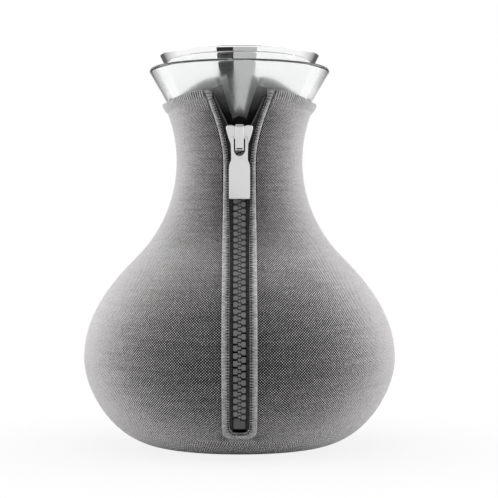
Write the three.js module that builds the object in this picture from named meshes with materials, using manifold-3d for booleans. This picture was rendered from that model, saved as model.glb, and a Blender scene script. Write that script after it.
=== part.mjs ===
// A tea maker: a wide-bellied glass flask in a zipped fabric jacket, with a steel funnel, strainer and lid.
// Millimetres, +Z up. The zip faces -Y and the base stands on z = 0.
import * as THREE from "three";
import { mergeVertices } from "three/addons/utils/BufferGeometryUtils.js";
import Module from "manifold-3d";

const wasm = await Module();
wasm.setup();

// Shared by every piece
const SEGMENTS = 32;
const FIT = 0.3;
const FRONT_REACH = 110;

// Outline of the jacket
const BASE_R = 41.4;
const BASE_RISE_DEG = 6.3;
const BELLY_R = 79.6;
const BELLY_Z = 44.6;
const WAIST_R = 32.35;
const WAIST_Z = 145.2;
const NECK_ARC_R = 69.1;
const NECK_ARC_LOW_DEG = 42.1;
const JACKET_T = 4.3;
const SHELL_RISE = 25;
const HEM_H = 4;
const HEM_CORNER_RISE = 3.8;
const HEM_EDGE_T = 1.3;
const FLAP_LIFT = 1.1;

// Glass flask
const GLASS_WALL = 2.5;
const GLASS_BASE_T = 3.5;
const MOUTH_R = 46.3;
const MOUTH_RISE = 46;
const MOUTH_FLARE_DEG = 30.1;
const MOUTH_BEAD_R = 1.5;
const FLARE_START_DEG = 11;

// Zip opening, as seen from the front
const WELT_HALF_W = 8.3;
const WELT_W = 3.5;
const WELT_FOOT_Z = 11;
const WELT_FOOT_H = 2.3;
const V_START_Z = 142;
const V_SPREAD = 9.7;
const WELT_OUT = 0.9;
const WELT_IN = 0.6;
const TAPE_T = 0.5;
const GUARD_T = 0.4;

// Zip teeth
const TOOTH_PITCH = 3.6;
const TOOTH_HEAD = 0.75;
const TOOTH_T = 2.4;
const TOOTH_REACH = 2.85;
const CHAIN_FOOT_Z = 20;
const STOP_H = 4.4;

// Slider and pull tab
const SLIDER_RISE = 13.1;
const SLIDER_L = 12.5;
const SLIDER_TOP_HALF = 6.65;
const SLIDER_FOOT_HALF = 4.2;
const SLIDER_PLATE_T = 1.15;
const SLIDER_BACK_T = 0.55;
const SPREAD = 2.2;
const CAP_HALF = 2.08;
const CAP_H = 3;
const TAB_L = 30;
const TAB_T = 1.2;
const TAB_HALF = 5.2;
const TAB_NECK_HALF = 4.1;
const TAB_SLOT_HALF = 2.75;
const TAB_SLOT_L = 8.5;
const TAB_REST_DEG = 10.4;

// Funnel, strainer and lid
const FUNNEL_R = 41.1;
const FUNNEL_TOP = 8.8;
const FUNNEL_FLARE_DEG = 27;
const FUNNEL_T = 1.3;
const FUNNEL_BEAD_R = 0.9;
const SPIGOT_R = 21.5;
const SPIGOT_L = 20.5;
const STRAINER_T = 0.8;
const STRAINER_L = 126;
const STRAINER_SLOT_W = 2.6;
const STRAINER_FOOT_BAND = 8;
const STRAINER_TOP_BAND = 10;
const STRAINER_RING_RISE = 7.2;
const STRAINER_RING_DROP = 4.5;
const STRAINER_CUP_H = 5;
const STRAINER_BASE_T = 1.2;
const DRAIN_HOLE_R = 1.6;
const STRAINER_ROWS = 4;
const STRAINER_AROUND = 8;
const LID_DROP = 14;
const LID_T = 1.6;
const LID_RIM_H = 4;
const KNOB_R = 8;
const KNOB_H = 10;

const rad = THREE.MathUtils.degToRad;
const v2 = (x, y) => new THREE.Vector2(x, y);

// Finishes
const finish = (color, roughness, metalness) =>
  new THREE.MeshStandardMaterial({ color, roughness, metalness });
const FABRIC = finish(0x77767a, 0.95, 0);
const BINDING = finish(0x858488, 0.9, 0);
const DARK_TAPE = finish(0x303032, 0.95, 0);
const TOOTH_PLASTIC = finish(0x55565a, 0.55, 0);
const SATIN_METAL = finish(0xc3c4c6, 0.4, 1);
const STEEL = finish(0xd8dadc, 0.12, 1);
const GLASS = finish(0xe6eeee, 0.05, 0);
const SILICONE = finish(0x2a2b2d, 0.7, 0);

// Solids and booleans
function solidOf(geometry) {
  const bare = geometry.index ? geometry.toNonIndexed() : geometry.clone();
  bare.deleteAttribute("normal");
  bare.deleteAttribute("uv");
  const merged = mergeVertices(bare, 1e-4);
  return new wasm.Manifold(
    new wasm.Mesh({
      numProp: 3,
      vertProperties: merged.attributes.position.array,
      triVerts: new Uint32Array(merged.index.array),
    }),
  );
}

function geometryOf(solid) {
  const mesh = solid.getMesh();
  const geometry = new THREE.BufferGeometry();
  geometry.setAttribute("position", new THREE.BufferAttribute(mesh.vertProperties, 3));
  geometry.setIndex(new THREE.BufferAttribute(mesh.triVerts, 1));
  return geometry;
}

// A closed outline turned about the Z axis, whichever way round its points run
function turned(points, segments = SEGMENTS) {
  const run = THREE.ShapeUtils.area(points) > 0 ? points : [...points].reverse();
  const geometry = new THREE.LatheGeometry([...run, run[0]], segments);
  geometry.rotateX(Math.PI / 2);
  return solidOf(geometry);
}

// A front-view shape (x, z) carried along Y through the front half of the object
function frontPrism(shape, near = 2) {
  const geometry = new THREE.ExtrudeGeometry(shape, {
    depth: FRONT_REACH - near,
    bevelEnabled: false,
    curveSegments: 5,
  });
  geometry.rotateX(Math.PI / 2);
  geometry.translate(0, -near, 0);
  return solidOf(geometry);
}

// Points of a line moved sideways; a positive distance moves them to the right of its run
function offsetLine(points, distance) {
  return points.map((p, i) => {
    const a = points[Math.max(i - 1, 0)];
    const b = points[Math.min(i + 1, points.length - 1)];
    const before = v2(p.x - a.x, p.y - a.y).normalize();
    const after = v2(b.x - p.x, b.y - p.y).normalize();
    const run = before.clone().add(after).normalize();
    const widen = 1 / Math.max(0.5, run.dot(i ? before : after));
    return v2(p.x + run.y * distance * widen, p.y - run.x * distance * widen);
  });
}

// The radius of a turned line at a height
function radiusOn(line, z) {
  const i = line.findIndex((p, n) => n > 0 && (p.y - z) * (line[n - 1].y - z) <= 0);
  const a = line[i - 1];
  const b = line[i];
  return a.x + ((b.x - a.x) * (z - a.y)) / (b.y - a.y);
}

// The jacket's outer line, from the base edge up to the top
const arcCentre = v2(WAIST_R + NECK_ARC_R, WAIST_Z);
const arcPoint = (radius, angle) =>
  v2(arcCentre.x - radius * Math.cos(angle), arcCentre.y + radius * Math.sin(angle));
const lowAngle = -rad(NECK_ARC_LOW_DEG);
const arcStart = arcPoint(NECK_ARC_R, lowAngle);
const shoulderH = arcStart.y - BELLY_Z;
const baseHandle = 0.64 * (BELLY_R - BASE_R);
const topAngle = Math.asin(SHELL_RISE / NECK_ARC_R);

const meridian = new THREE.CurvePath();
meridian.add(
  new THREE.CubicBezierCurve(
    v2(BASE_R, 0),
    v2(
      BASE_R + baseHandle * Math.cos(rad(BASE_RISE_DEG)),
      baseHandle * Math.sin(rad(BASE_RISE_DEG)),
    ),
    v2(BELLY_R, 0.657 * BELLY_Z),
    v2(BELLY_R, BELLY_Z),
  ),
);
meridian.add(
  new THREE.CubicBezierCurve(
    v2(BELLY_R, BELLY_Z),
    v2(BELLY_R, BELLY_Z + 0.498 * shoulderH),
    v2(
      arcStart.x + 0.222 * shoulderH * Math.sin(-lowAngle),
      arcStart.y - 0.222 * shoulderH * Math.cos(lowAngle),
    ),
    arcStart,
  ),
);
meridian.add(
  new THREE.EllipseCurve(
    arcCentre.x,
    arcCentre.y,
    NECK_ARC_R,
    NECK_ARC_R,
    Math.PI - lowAngle,
    Math.PI - topAngle,
    true,
  ),
);
const curveEnds = meridian.getCurveLengths();
const meridianL = meridian.getLength();

// A point of the outer line at a length along it, moved inwards
function along(length, inwards = 0) {
  const u = THREE.MathUtils.clamp(length / meridianL, 0, 1);
  const p = meridian.getPoint(u);
  const t = meridian.getTangent(u);
  return v2(p.x - t.y * inwards, p.y + t.x * inwards);
}

// The length at which the outer line passes a height
function lengthAt(z) {
  let low = 0;
  let high = meridianL;
  for (let i = 0; i < 40; i += 1) {
    const mid = (low + high) / 2;
    if (along(mid).y < z) low = mid;
    else high = mid;
  }
  return low;
}

// Sampled lengths, closer together where the line bends most
function sampled(end) {
  const steps = [
    [0, curveEnds[0], 6],
    [curveEnds[0], curveEnds[1], 5],
    [curveEnds[1], end, 5],
  ];
  const lengths = [0];
  for (const [from, to, count] of steps)
    for (let i = 1; i <= count; i += 1) lengths.push(from + ((to - from) * i) / count);
  return lengths;
}

// Glass flask
const glassIn = JACKET_T + FIT;
const glassArcR = NECK_ARC_R + glassIn;
const mouthZ = WAIST_Z + MOUTH_RISE;
const flare = rad(MOUTH_FLARE_DEG);
const beadCentre = v2(MOUTH_R - MOUTH_BEAD_R, mouthZ);
const coneTop = v2(
  beadCentre.x + MOUTH_BEAD_R * Math.cos(flare),
  beadCentre.y - MOUTH_BEAD_R * Math.sin(flare),
);
const coneR = (z) => coneTop.x - (coneTop.y - z) * Math.tan(flare);
const flareAngle = rad(FLARE_START_DEG);
const flareStart = arcPoint(glassArcR, flareAngle);
const flareRun =
  (coneR(flareStart.y) - flareStart.x) /
  (Math.sin(flareAngle) - Math.tan(flare) * Math.cos(flareAngle));
const flareKnee = v2(
  flareStart.x + flareRun * Math.sin(flareAngle),
  flareStart.y + flareRun * Math.cos(flareAngle),
);
const flareEnd = v2(
  flareKnee.x + flareRun * Math.sin(flare),
  flareKnee.y + flareRun * Math.cos(flare),
);
const shellTopZ = WAIST_Z + SHELL_RISE;
const flareLength = curveEnds[1] + NECK_ARC_R * (flareAngle - lowAngle);
const glassSide = [
  ...sampled(flareLength).map((length) => along(length, glassIn)),
  new THREE.QuadraticBezierCurve(flareStart, flareKnee, flareEnd).getPoint(0.5),
  flareEnd,
  v2(coneR(shellTopZ), shellTopZ),
];
const bead = [];
for (let i = 0; i <= 4; i += 1) {
  const angle = -flare + (i * Math.PI) / 4;
  bead.push(
    v2(
      beadCentre.x + MOUTH_BEAD_R * Math.cos(angle),
      beadCentre.y + MOUTH_BEAD_R * Math.sin(angle),
    ),
  );
}
const glassInner = offsetLine([...glassSide, coneTop], -GLASS_WALL);
glassInner[0] = v2(glassInner[0].x, glassIn + GLASS_BASE_T);
const innerSide = glassInner.filter((p, i) => i % 2 === 0).slice(0, -1);
const glass_flask = turned([
  v2(0, glassIn),
  ...glassSide,
  ...bead,
  ...[...innerSide].reverse(),
  v2(0, glassIn + GLASS_BASE_T),
]);

// Front-view lines of the zip opening; the right-hand side, with an inset towards the middle
const hemTopZ = shellTopZ + FIT + HEM_H + HEM_CORNER_RISE;
function openingShape(inset, footInset = inset) {
  const half = WELT_HALF_W - inset;
  const top = half + V_SPREAD - inset * 0.09;
  const kneeZ = V_START_Z + 0.4 * (hemTopZ - V_START_Z);
  const foot = WELT_FOOT_Z + footInset;
  const corner = Math.min(half, 4.7) * 0.9;
  const shape = new THREE.Shape();
  shape.moveTo(top, hemTopZ + 4);
  shape.lineTo(top, hemTopZ);
  shape.quadraticCurveTo(half, kneeZ, half, V_START_Z);
  shape.lineTo(half, foot + corner);
  shape.quadraticCurveTo(half, foot, half - corner, foot);
  shape.lineTo(corner - half, foot);
  shape.quadraticCurveTo(-half, foot, -half, foot + corner);
  shape.lineTo(-half, V_START_Z);
  shape.quadraticCurveTo(-half, kneeZ, -top, hemTopZ);
  shape.lineTo(-top, hemTopZ + 4);
  shape.closePath();
  return shape;
}
const shellOpening = frontPrism(openingShape(-FIT));

// Jacket shell, base and hem
const shellLengths = sampled(meridianL);
const shellInner = offsetLine(glassSide, FIT);
shellInner[shellInner.length - 1] = v2(coneR(shellTopZ) + FIT / Math.cos(flare), shellTopZ);
const jacket_shell = turned([
  ...shellLengths.map((length) => along(length)),
  ...[...shellInner].reverse(),
]).subtract(shellOpening);

const jacket_base = turned([
  v2(0, 0),
  v2(BASE_R - 2 * FIT, 0),
  v2(BASE_R - FIT, 1.2 * FIT),
  v2(shellInner[0].x - FIT, shellInner[0].y - 0.4),
  v2(shellInner[0].x - 3 * FIT, shellInner[0].y - 0.05),
  v2(0, JACKET_T),
]);

const hemFootZ = shellTopZ + FIT;
const shellTopR = along(meridianL).x;
const hemInner = (z) => coneR(z) + FIT / Math.cos(flare);
const hemEdgeZ = hemFootZ + HEM_H;
const hemLine = [
  v2(shellTopR + FIT, hemFootZ),
  v2((shellTopR + FIT + hemInner(hemEdgeZ) + HEM_EDGE_T) / 2 + FIT, hemFootZ + 0.55 * HEM_H),
  v2(hemInner(hemEdgeZ) + HEM_EDGE_T, hemEdgeZ),
  v2(hemInner(hemTopZ) + HEM_EDGE_T, hemTopZ),
];
const saddle = new THREE.Shape();
saddle.moveTo(MOUTH_R + 10, hemEdgeZ);
saddle.lineTo(-0.6 * shellTopR, hemEdgeZ);
saddle.quadraticCurveTo(-0.85 * shellTopR, hemEdgeZ, -1.02 * shellTopR, hemTopZ + 0.2);
saddle.lineTo(-1.02 * shellTopR, hemTopZ + 9);
saddle.lineTo(MOUTH_R + 10, hemTopZ + 9);
saddle.closePath();
const saddleGeometry = new THREE.ExtrudeGeometry(saddle, {
  depth: 4 * MOUTH_R,
  bevelEnabled: false,
  curveSegments: 5,
});
saddleGeometry.applyMatrix4(
  new THREE.Matrix4().makeBasis(
    new THREE.Vector3(0, 1, 0),
    new THREE.Vector3(0, 0, 1),
    new THREE.Vector3(1, 0, 0),
  ),
);
saddleGeometry.translate(-2 * MOUTH_R, 0, 0);
const saddleCut = solidOf(saddleGeometry);
const jacket_hem = turned([
  ...hemLine,
  v2(hemInner(hemTopZ), hemTopZ),
  v2(hemInner(hemFootZ), hemFootZ),
])
  .subtract(saddleCut)
  .subtract(shellOpening);

// Thin layers of the zip, turned with the jacket and then trimmed to a front-view shape
function layer(outside, inside, shape) {
  const lengths = shellLengths.slice(2);
  const over = (distance) => [
    ...lengths.map((length) => along(length, distance)),
    ...hemLine.slice(1).map((p, i) => v2(p.x + FLAP_LIFT * Math.min(1, 0.4 + 0.6 * i) - distance, p.y)),
  ];
  return turned([...over(outside), ...over(inside).reverse()]).intersect(frontPrism(shape));
}

// The welt: a U of binding that opens into the V
const weltOuter = openingShape(0);
const weltInner = openingShape(WELT_W, WELT_FOOT_H);
const weltLayer = layer(-WELT_OUT, WELT_IN, weltOuter);
const zip_welt = weltLayer.subtract(frontPrism(weltInner));

// Where the slider stands: at the foot of the V
const sliderZ = V_START_Z + SLIDER_RISE;
const sliderS = lengthAt(sliderZ);
const chainTopS = sliderS + 0.3 * SLIDER_L;
const chainFootS = lengthAt(CHAIN_FOOT_Z);
const spreadFrom = sliderS - 0.2 * SLIDER_L;
const spreadAt = (length) =>
  SPREAD * THREE.MathUtils.smoothstep(length, spreadFrom, spreadFrom + 0.52 * SLIDER_L);

// Tapes, each beside its row of teeth
const toothMid = TOOTH_T / 2;
const tapeIn = toothMid - TAPE_T / 2;
function tapeShape(side) {
  const inner = TOOTH_REACH + FIT;
  const outer = WELT_HALF_W - 2 * FIT;
  const spreadZ = along(spreadFrom).y;
  const wideZ = along(spreadFrom + 0.6 * SLIDER_L).y;
  const topX = WELT_HALF_W + V_SPREAD - WELT_W - 2;
  const topZ = hemTopZ - 3.5;
  const kneeZ = V_START_Z + 0.4 * (hemTopZ - V_START_Z);
  const footZ = WELT_FOOT_Z + WELT_FOOT_H + FIT;
  const shape = new THREE.Shape();
  shape.moveTo(side * inner, footZ);
  shape.lineTo(side * inner, spreadZ - 2);
  shape.lineTo(side * (inner + SPREAD), wideZ);
  shape.lineTo(side * topX, topZ);
  shape.lineTo(side * (topX + 1.6), topZ);
  shape.quadraticCurveTo(side * outer, kneeZ, side * outer, V_START_Z);
  shape.lineTo(side * outer, footZ + 4);
  shape.lineTo(side * (outer - 3), footZ);
  shape.closePath();
  return shape;
}
const tape = (side) => layer(tapeIn, tapeIn + TAPE_T, tapeShape(side));

// The guard behind the zip lies on the glass and rises as two wings in the V
const guardShape = new THREE.Shape();
{
  const half = WELT_HALF_W - 2 * FIT;
  const notchZ = sliderZ + 0.73 * SLIDER_L;
  const wingZ = hemTopZ + 2;
  const wingOut = WELT_HALF_W + V_SPREAD - WELT_W - 1;
  const wingIn = 0.65 * wingOut;
  const footZ = WELT_FOOT_Z + WELT_FOOT_H + 2 * FIT;
  guardShape.moveTo(0, notchZ + 1.5);
  guardShape.lineTo(-3.4, notchZ);
  guardShape.lineTo(-wingIn, wingZ);
  guardShape.lineTo(-wingOut, wingZ - 1.6);
  guardShape.quadraticCurveTo(-half, V_START_Z + 0.4 * (hemTopZ - V_START_Z), -half, V_START_Z);
  guardShape.lineTo(-half, footZ + 4);
  guardShape.lineTo(3 - half, footZ);
  guardShape.lineTo(half - 3, footZ);
  guardShape.lineTo(half, footZ + 4);
  guardShape.lineTo(half, V_START_Z);
  guardShape.quadraticCurveTo(half, V_START_Z + 0.4 * (hemTopZ - V_START_Z), wingOut, wingZ - 1.6);
  guardShape.lineTo(wingIn, wingZ);
  guardShape.lineTo(3.4, notchZ);
  guardShape.closePath();
}
const guardBack = [...glassSide.slice(1), v2(coneR(hemTopZ + 4), hemTopZ + 4)];
const zip_guard = turned([
  ...offsetLine(guardBack, FIT + GUARD_T),
  ...offsetLine(guardBack, FIT).reverse(),
]).intersect(frontPrism(guardShape));

// A place on the zip: sideways, along the outer line, and inwards from it
function onZip(x, length, inwards) {
  const p = along(length, inwards);
  return new THREE.Vector3(x, -p.x, p.y);
}

// One row of teeth on its bead: a chain of equal cells, closed at both ends
function teethRow(side) {
  const count = Math.floor((chainTopS - chainFootS) / TOOTH_PITCH);
  const shift = side > 0 ? 0 : TOOTH_PITCH / 2;
  const half = TOOTH_PITCH / 2;
  const bead = TOOTH_REACH - 0.75;
  const root = half - TOOTH_HEAD * 0.75;
  const cell = [
    v2(TOOTH_REACH, -half),
    v2(TOOTH_REACH, half),
    v2(bead, half),
    v2(bead, root),
    v2(1.15, root),
    v2(0.7, 0.7 * TOOTH_HEAD),
    v2(-0.75, TOOTH_HEAD),
    v2(-0.75, -TOOTH_HEAD),
    v2(0.7, -0.7 * TOOTH_HEAD),
    v2(1.15, -root),
    v2(bead, -root),
    v2(bead, -half),
  ];
  const faces = THREE.ShapeUtils.triangulateShape(cell, []);
  const positions = [];
  const put = (p, middle, inwards) => {
    const length = middle + p.y;
    positions.push(...onZip(side * (p.x + spreadAt(length)), length, inwards).toArray());
  };
  const tri = (a, b, c, middle, levels) => {
    const order = side < 0 ? [a, b, c] : [a, c, b];
    const depth = side < 0 ? levels : [levels[0], levels[2], levels[1]];
    order.forEach((p, i) => put(p, middle, depth[i]));
  };
  const wall = (a, b, middle) => {
    tri(a, b, b, middle, [0, 0, TOOTH_T]);
    tri(a, b, a, middle, [0, TOOTH_T, TOOTH_T]);
  };
  for (let n = 0; n < count; n += 1) {
    const middle = chainFootS + half + shift + n * TOOTH_PITCH;
    for (const [a, b, c] of faces) {
      tri(cell[a], cell[b], cell[c], middle, [TOOTH_T, TOOTH_T, TOOTH_T]);
      tri(cell[a], cell[c], cell[b], middle, [0, 0, 0]);
    }
    cell.forEach((p, i) => {
      const next = cell[(i + 1) % cell.length];
      const shared = (i === 1 && n < count - 1) || (i === cell.length - 1 && n > 0);
      if (!shared) wall(p, next, middle);
    });
  }
  const geometry = new THREE.BufferGeometry();
  geometry.setAttribute("position", new THREE.Float32BufferAttribute(positions, 3));
  const solid = solidOf(geometry);
  const top = chainFootS + shift + count * TOOTH_PITCH;
  return { solid, top };
}
const rightRow = teethRow(1);
const leftRow = teethRow(-1);

// A flat shape (x, v) given a thickness, laid in the zip's own frame at a length along it
function onZipPlate(shape, length, from, to) {
  const geometry = new THREE.ExtrudeGeometry(shape, {
    depth: to - from,
    bevelEnabled: false,
    curveSegments: 3,
  });
  geometry.translate(0, 0, from);
  return geometry.applyMatrix4(zipFrame(length));
}

// The frame at a length: x sideways, y up the zip, z outwards
function zipFrame(length) {
  const p = along(length);
  const t = meridian.getTangent(length / meridianL);
  const frame = new THREE.Matrix4().makeBasis(
    new THREE.Vector3(1, 0, 0),
    new THREE.Vector3(0, -t.x, t.y),
    new THREE.Vector3(0, -t.y, -t.x),
  );
  return frame.setPosition(0, -p.x, p.y);
}

function rounded(halfW, low, high, r) {
  const shape = new THREE.Shape();
  shape.moveTo(r - halfW, low);
  shape.lineTo(halfW - r, low);
  shape.quadraticCurveTo(halfW, low, halfW, low + r);
  shape.lineTo(halfW, high - r);
  shape.quadraticCurveTo(halfW, high, halfW - r, high);
  shape.lineTo(r - halfW, high);
  shape.quadraticCurveTo(-halfW, high, -halfW, high - r);
  shape.lineTo(-halfW, low + r);
  shape.quadraticCurveTo(-halfW, low, r - halfW, low);
  return shape;
}

const stopS = chainFootS - FIT - STOP_H / 2;
const zip_bottom_stop = solidOf(
  onZipPlate(
    rounded(TOOTH_REACH, -STOP_H / 2, STOP_H / 2, 0.8),
    stopS,
    -TOOTH_T - 0.1,
    0.4,
  ),
);
function topStop(side, row) {
  const low = row.top - sliderS + FIT;
  const middle = side * (spreadAt(row.top + FIT) + 0.5 * TOOTH_REACH);
  const shape = rounded(0.5 * TOOTH_REACH - 0.15, low, low + 2, 0.4);
  const geometry = onZipPlate(shape, sliderS, -TOOTH_T + 0.5, 0.1);
  return solidOf(geometry.translate(middle, 0, 0));
}

// Slider: two plates joined by a wedge, with rails that hold the tapes
const halfL = SLIDER_L / 2;
const plateOut = WELT_OUT + 0.1;
const plateTop = plateOut + SLIDER_PLATE_T;
const backIn = TOOTH_T + 0.35;
function sliderOutline(trim, widest, low, high) {
  const top = Math.min(SLIDER_TOP_HALF, widest) - trim;
  const foot = Math.min(SLIDER_FOOT_HALF, widest) - trim;
  const shape = new THREE.Shape();
  shape.moveTo(foot - 0.5, low);
  shape.quadraticCurveTo(foot, low, foot, low + 0.6);
  shape.lineTo(foot + 0.08, low + 0.25 * SLIDER_L);
  shape.quadraticCurveTo(0.4 * foot + 0.6 * top, 0, top, 0.36 * SLIDER_L);
  shape.quadraticCurveTo(top + 0.1, high, top - 1.4, high);
  shape.lineTo(0.45 * top, high - 0.5);
  shape.lineTo(-0.45 * top, high - 0.5);
  shape.lineTo(1.4 - top, high);
  shape.quadraticCurveTo(-top - 0.1, high, -top, 0.36 * SLIDER_L);
  shape.quadraticCurveTo(-0.4 * foot - 0.6 * top, 0, -foot - 0.08, low + 0.25 * SLIDER_L);
  shape.lineTo(-foot, low + 0.6);
  shape.quadraticCurveTo(-foot, low, 0.5 - foot, low);
  return shape;
}
const sliderPiece = (shape, from, to) => solidOf(onZipPlate(shape, sliderS, from, to));
const wedge = new THREE.Shape();
wedge.moveTo(-0.3, 0.1 * SLIDER_L);
wedge.lineTo(0.3, 0.1 * SLIDER_L);
wedge.lineTo(1, 0.3 * SLIDER_L);
wedge.lineTo(1, 0.44 * SLIDER_L);
wedge.lineTo(-1, 0.44 * SLIDER_L);
wedge.lineTo(-1, 0.3 * SLIDER_L);
const RAIL_W = 1.05;
const BACK_HALF = 6.3;
const channel = sliderOutline(RAIL_W, 9, -halfL - 3, halfL + 3);
const backChannel = sliderOutline(RAIL_W, BACK_HALF, -halfL - 3, halfL + 3);
const backOutline = sliderOutline(0, BACK_HALF, -halfL + 0.6, halfL - 0.6);
const pinHole = rounded(0.75, -0.33 * SLIDER_L, -0.21 * SLIDER_L, 0.2);
const topRails = sliderPiece(sliderOutline(0, 9, -halfL, halfL), -0.25, plateOut + 0.2).subtract(
  sliderPiece(channel, -0.6, plateOut + 0.4),
);
const backRails = sliderPiece(backOutline, -backIn - 0.1, -TOOTH_T + 0.1)
  .subtract(sliderPiece(backChannel, -backIn - 0.4, -TOOTH_T + 0.4));
const slider_body = sliderPiece(sliderOutline(0, 9, -halfL, halfL), plateOut, plateTop)
  .subtract(sliderPiece(pinHole, plateOut - 1, plateTop + 1))
  .add(topRails)
  .add(sliderPiece(backOutline, -backIn - SLIDER_BACK_T, -backIn))
  .add(backRails)
  .add(sliderPiece(wedge, -backIn - 0.1, plateOut + 0.1));

// A side view (v, out) of the zip frame, given a width in x
function onZipSide(shape, halfW) {
  const geometry = new THREE.ExtrudeGeometry(shape, {
    depth: 2 * halfW,
    bevelEnabled: false,
    curveSegments: 4,
  });
  geometry.applyMatrix4(
    new THREE.Matrix4().makeBasis(
      new THREE.Vector3(0, 1, 0),
      new THREE.Vector3(0, 0, 1),
      new THREE.Vector3(1, 0, 0),
    ),
  );
  geometry.translate(-halfW, 0, 0);
  return solidOf(geometry.applyMatrix4(zipFrame(sliderS)));
}

// Cap: a bridge over the slider, with the slit at its lower leg
const capFoot = plateTop + 0.25;
const capTop = plateTop + CAP_H;
const capUnder = capTop - 0.8;
const capLow = -halfL;
const capHigh = halfL + 0.5;
const bridge = new THREE.Shape();
bridge.moveTo(capLow, capFoot);
bridge.lineTo(capLow + 1.5, capFoot);
bridge.lineTo(capLow + 1.5, capUnder);
bridge.lineTo(capHigh - 1.9, capUnder);
bridge.lineTo(capHigh - 1.9, capFoot);
bridge.lineTo(capHigh - 0.6, capFoot);
bridge.lineTo(capHigh, capFoot + 0.6);
bridge.quadraticCurveTo(capHigh, capTop, capHigh - 2.2, capTop);
bridge.lineTo(capLow + 1.6, capTop);
bridge.quadraticCurveTo(capLow, capTop, capLow, capFoot);
const slit = rounded(0.7 * CAP_HALF, capLow + 0.8, capLow + 1.45, 0.25);
const slider_cap = onZipSide(bridge, CAP_HALF).subtract(
  sliderPiece(slit, capTop - 0.7, capTop + 1),
);

// Lock: a sprung strip under the bridge, with a finger that drops through the plate between the teeth
const lockOut = capUnder - FIT * 0.7;
const strip = new THREE.Shape();
const stripLow = capLow + 1.5 + FIT;
strip.moveTo(stripLow, lockOut - 0.35);
strip.lineTo(-0.32 * SLIDER_L + 0.25, lockOut - 0.35);
strip.lineTo(-0.32 * SLIDER_L + 0.25, 0.45);
strip.lineTo(-0.22 * SLIDER_L - 0.25, 0.45);
strip.lineTo(-0.22 * SLIDER_L - 0.25, lockOut - 0.35);
strip.lineTo(capHigh - 1.9 - FIT, lockOut - 0.35);
strip.lineTo(capHigh - 1.9 - FIT, lockOut);
strip.lineTo(stripLow, lockOut);
const slider_lock = onZipSide(strip, 0.45);

// Pull tab: a waisted plate with a long slot, hung on the bridge and leaning on the zip
const pivotV = 0;
const pivotOut = plateTop + FIT + TAB_T / 2;
const tabShape = new THREE.Shape();
tabShape.moveTo(-TAB_NECK_HALF - 0.3, 0.45);
tabShape.lineTo(-TAB_NECK_HALF, -0.27 * TAB_L);
tabShape.lineTo(-TAB_NECK_HALF, -0.37 * TAB_L);
tabShape.quadraticCurveTo(-TAB_HALF, -0.42 * TAB_L, -TAB_HALF, -0.53 * TAB_L);
tabShape.lineTo(-TAB_HALF, 1.6 - TAB_L);
tabShape.quadraticCurveTo(-TAB_HALF, -TAB_L, 1.6 - TAB_HALF, -TAB_L);
tabShape.lineTo(TAB_HALF - 1.6, -TAB_L);
tabShape.quadraticCurveTo(TAB_HALF, -TAB_L, TAB_HALF, 1.6 - TAB_L);
tabShape.lineTo(TAB_HALF, -0.53 * TAB_L);
tabShape.quadraticCurveTo(TAB_HALF, -0.42 * TAB_L, TAB_NECK_HALF, -0.37 * TAB_L);
tabShape.lineTo(TAB_NECK_HALF, -0.27 * TAB_L);
tabShape.lineTo(TAB_NECK_HALF + 0.3, 0.45);
tabShape.closePath();
const tabSlot = new THREE.Path();
const slotFoot = TAB_SLOT_HALF - TAB_SLOT_L - 0.35;
tabSlot.moveTo(TAB_SLOT_HALF, -0.35);
tabSlot.lineTo(TAB_SLOT_HALF, slotFoot);
tabSlot.absarc(0, slotFoot, TAB_SLOT_HALF, 0, -Math.PI, true);
tabSlot.lineTo(-TAB_SLOT_HALF, -0.35);
tabSlot.closePath();
tabShape.holes.push(tabSlot);
const tabGeometry = new THREE.ExtrudeGeometry(tabShape, {
  depth: TAB_T,
  bevelEnabled: false,
  curveSegments: 5,
});
tabGeometry.translate(0, 0, -TAB_T / 2);
tabGeometry.rotateX(-rad(TAB_REST_DEG));
tabGeometry.translate(0, pivotV, pivotOut);
const pull_tab = solidOf(tabGeometry.applyMatrix4(zipFrame(sliderS)));

// Funnel
const funnelFlare = rad(FUNNEL_FLARE_DEG);
const rimZ = mouthZ + FUNNEL_TOP;
const rimCentre = v2(FUNNEL_R - FUNNEL_BEAD_R, rimZ - FUNNEL_BEAD_R);
const rimTangent = v2(
  rimCentre.x + FUNNEL_BEAD_R * Math.cos(funnelFlare),
  rimCentre.y - FUNNEL_BEAD_R * Math.sin(funnelFlare),
);
const throatZ = rimTangent.y - (rimTangent.x - SPIGOT_R) / Math.tan(funnelFlare);
const funnelInner = (z) =>
  SPIGOT_R + (z - throatZ) * Math.tan(funnelFlare) - FUNNEL_T / Math.cos(funnelFlare);
const throatR = SPIGOT_R - FUNNEL_T;
const innerThroatZ =
  throatZ + (FUNNEL_T / Math.cos(funnelFlare) - FUNNEL_T) / Math.tan(funnelFlare);
const spigotFoot = throatZ - SPIGOT_L;
const rim = [];
for (let i = 0; i <= 4; i += 1) {
  const angle = -funnelFlare + (i * Math.PI) / 4;
  rim.push(
    v2(
      rimCentre.x + FUNNEL_BEAD_R * Math.cos(angle),
      rimCentre.y + FUNNEL_BEAD_R * Math.sin(angle),
    ),
  );
}
const innerTopZ = rimCentre.y - FUNNEL_BEAD_R;
const pour_funnel = turned([
  v2(throatR, spigotFoot),
  v2(SPIGOT_R + 0.9, spigotFoot),
  v2(SPIGOT_R + 0.9, spigotFoot + 1),
  v2(SPIGOT_R, spigotFoot + 1.4),
  v2(SPIGOT_R, throatZ),
  ...rim,
  v2(funnelInner(innerTopZ), innerTopZ),
  v2(throatR, innerThroatZ),
]);

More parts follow.
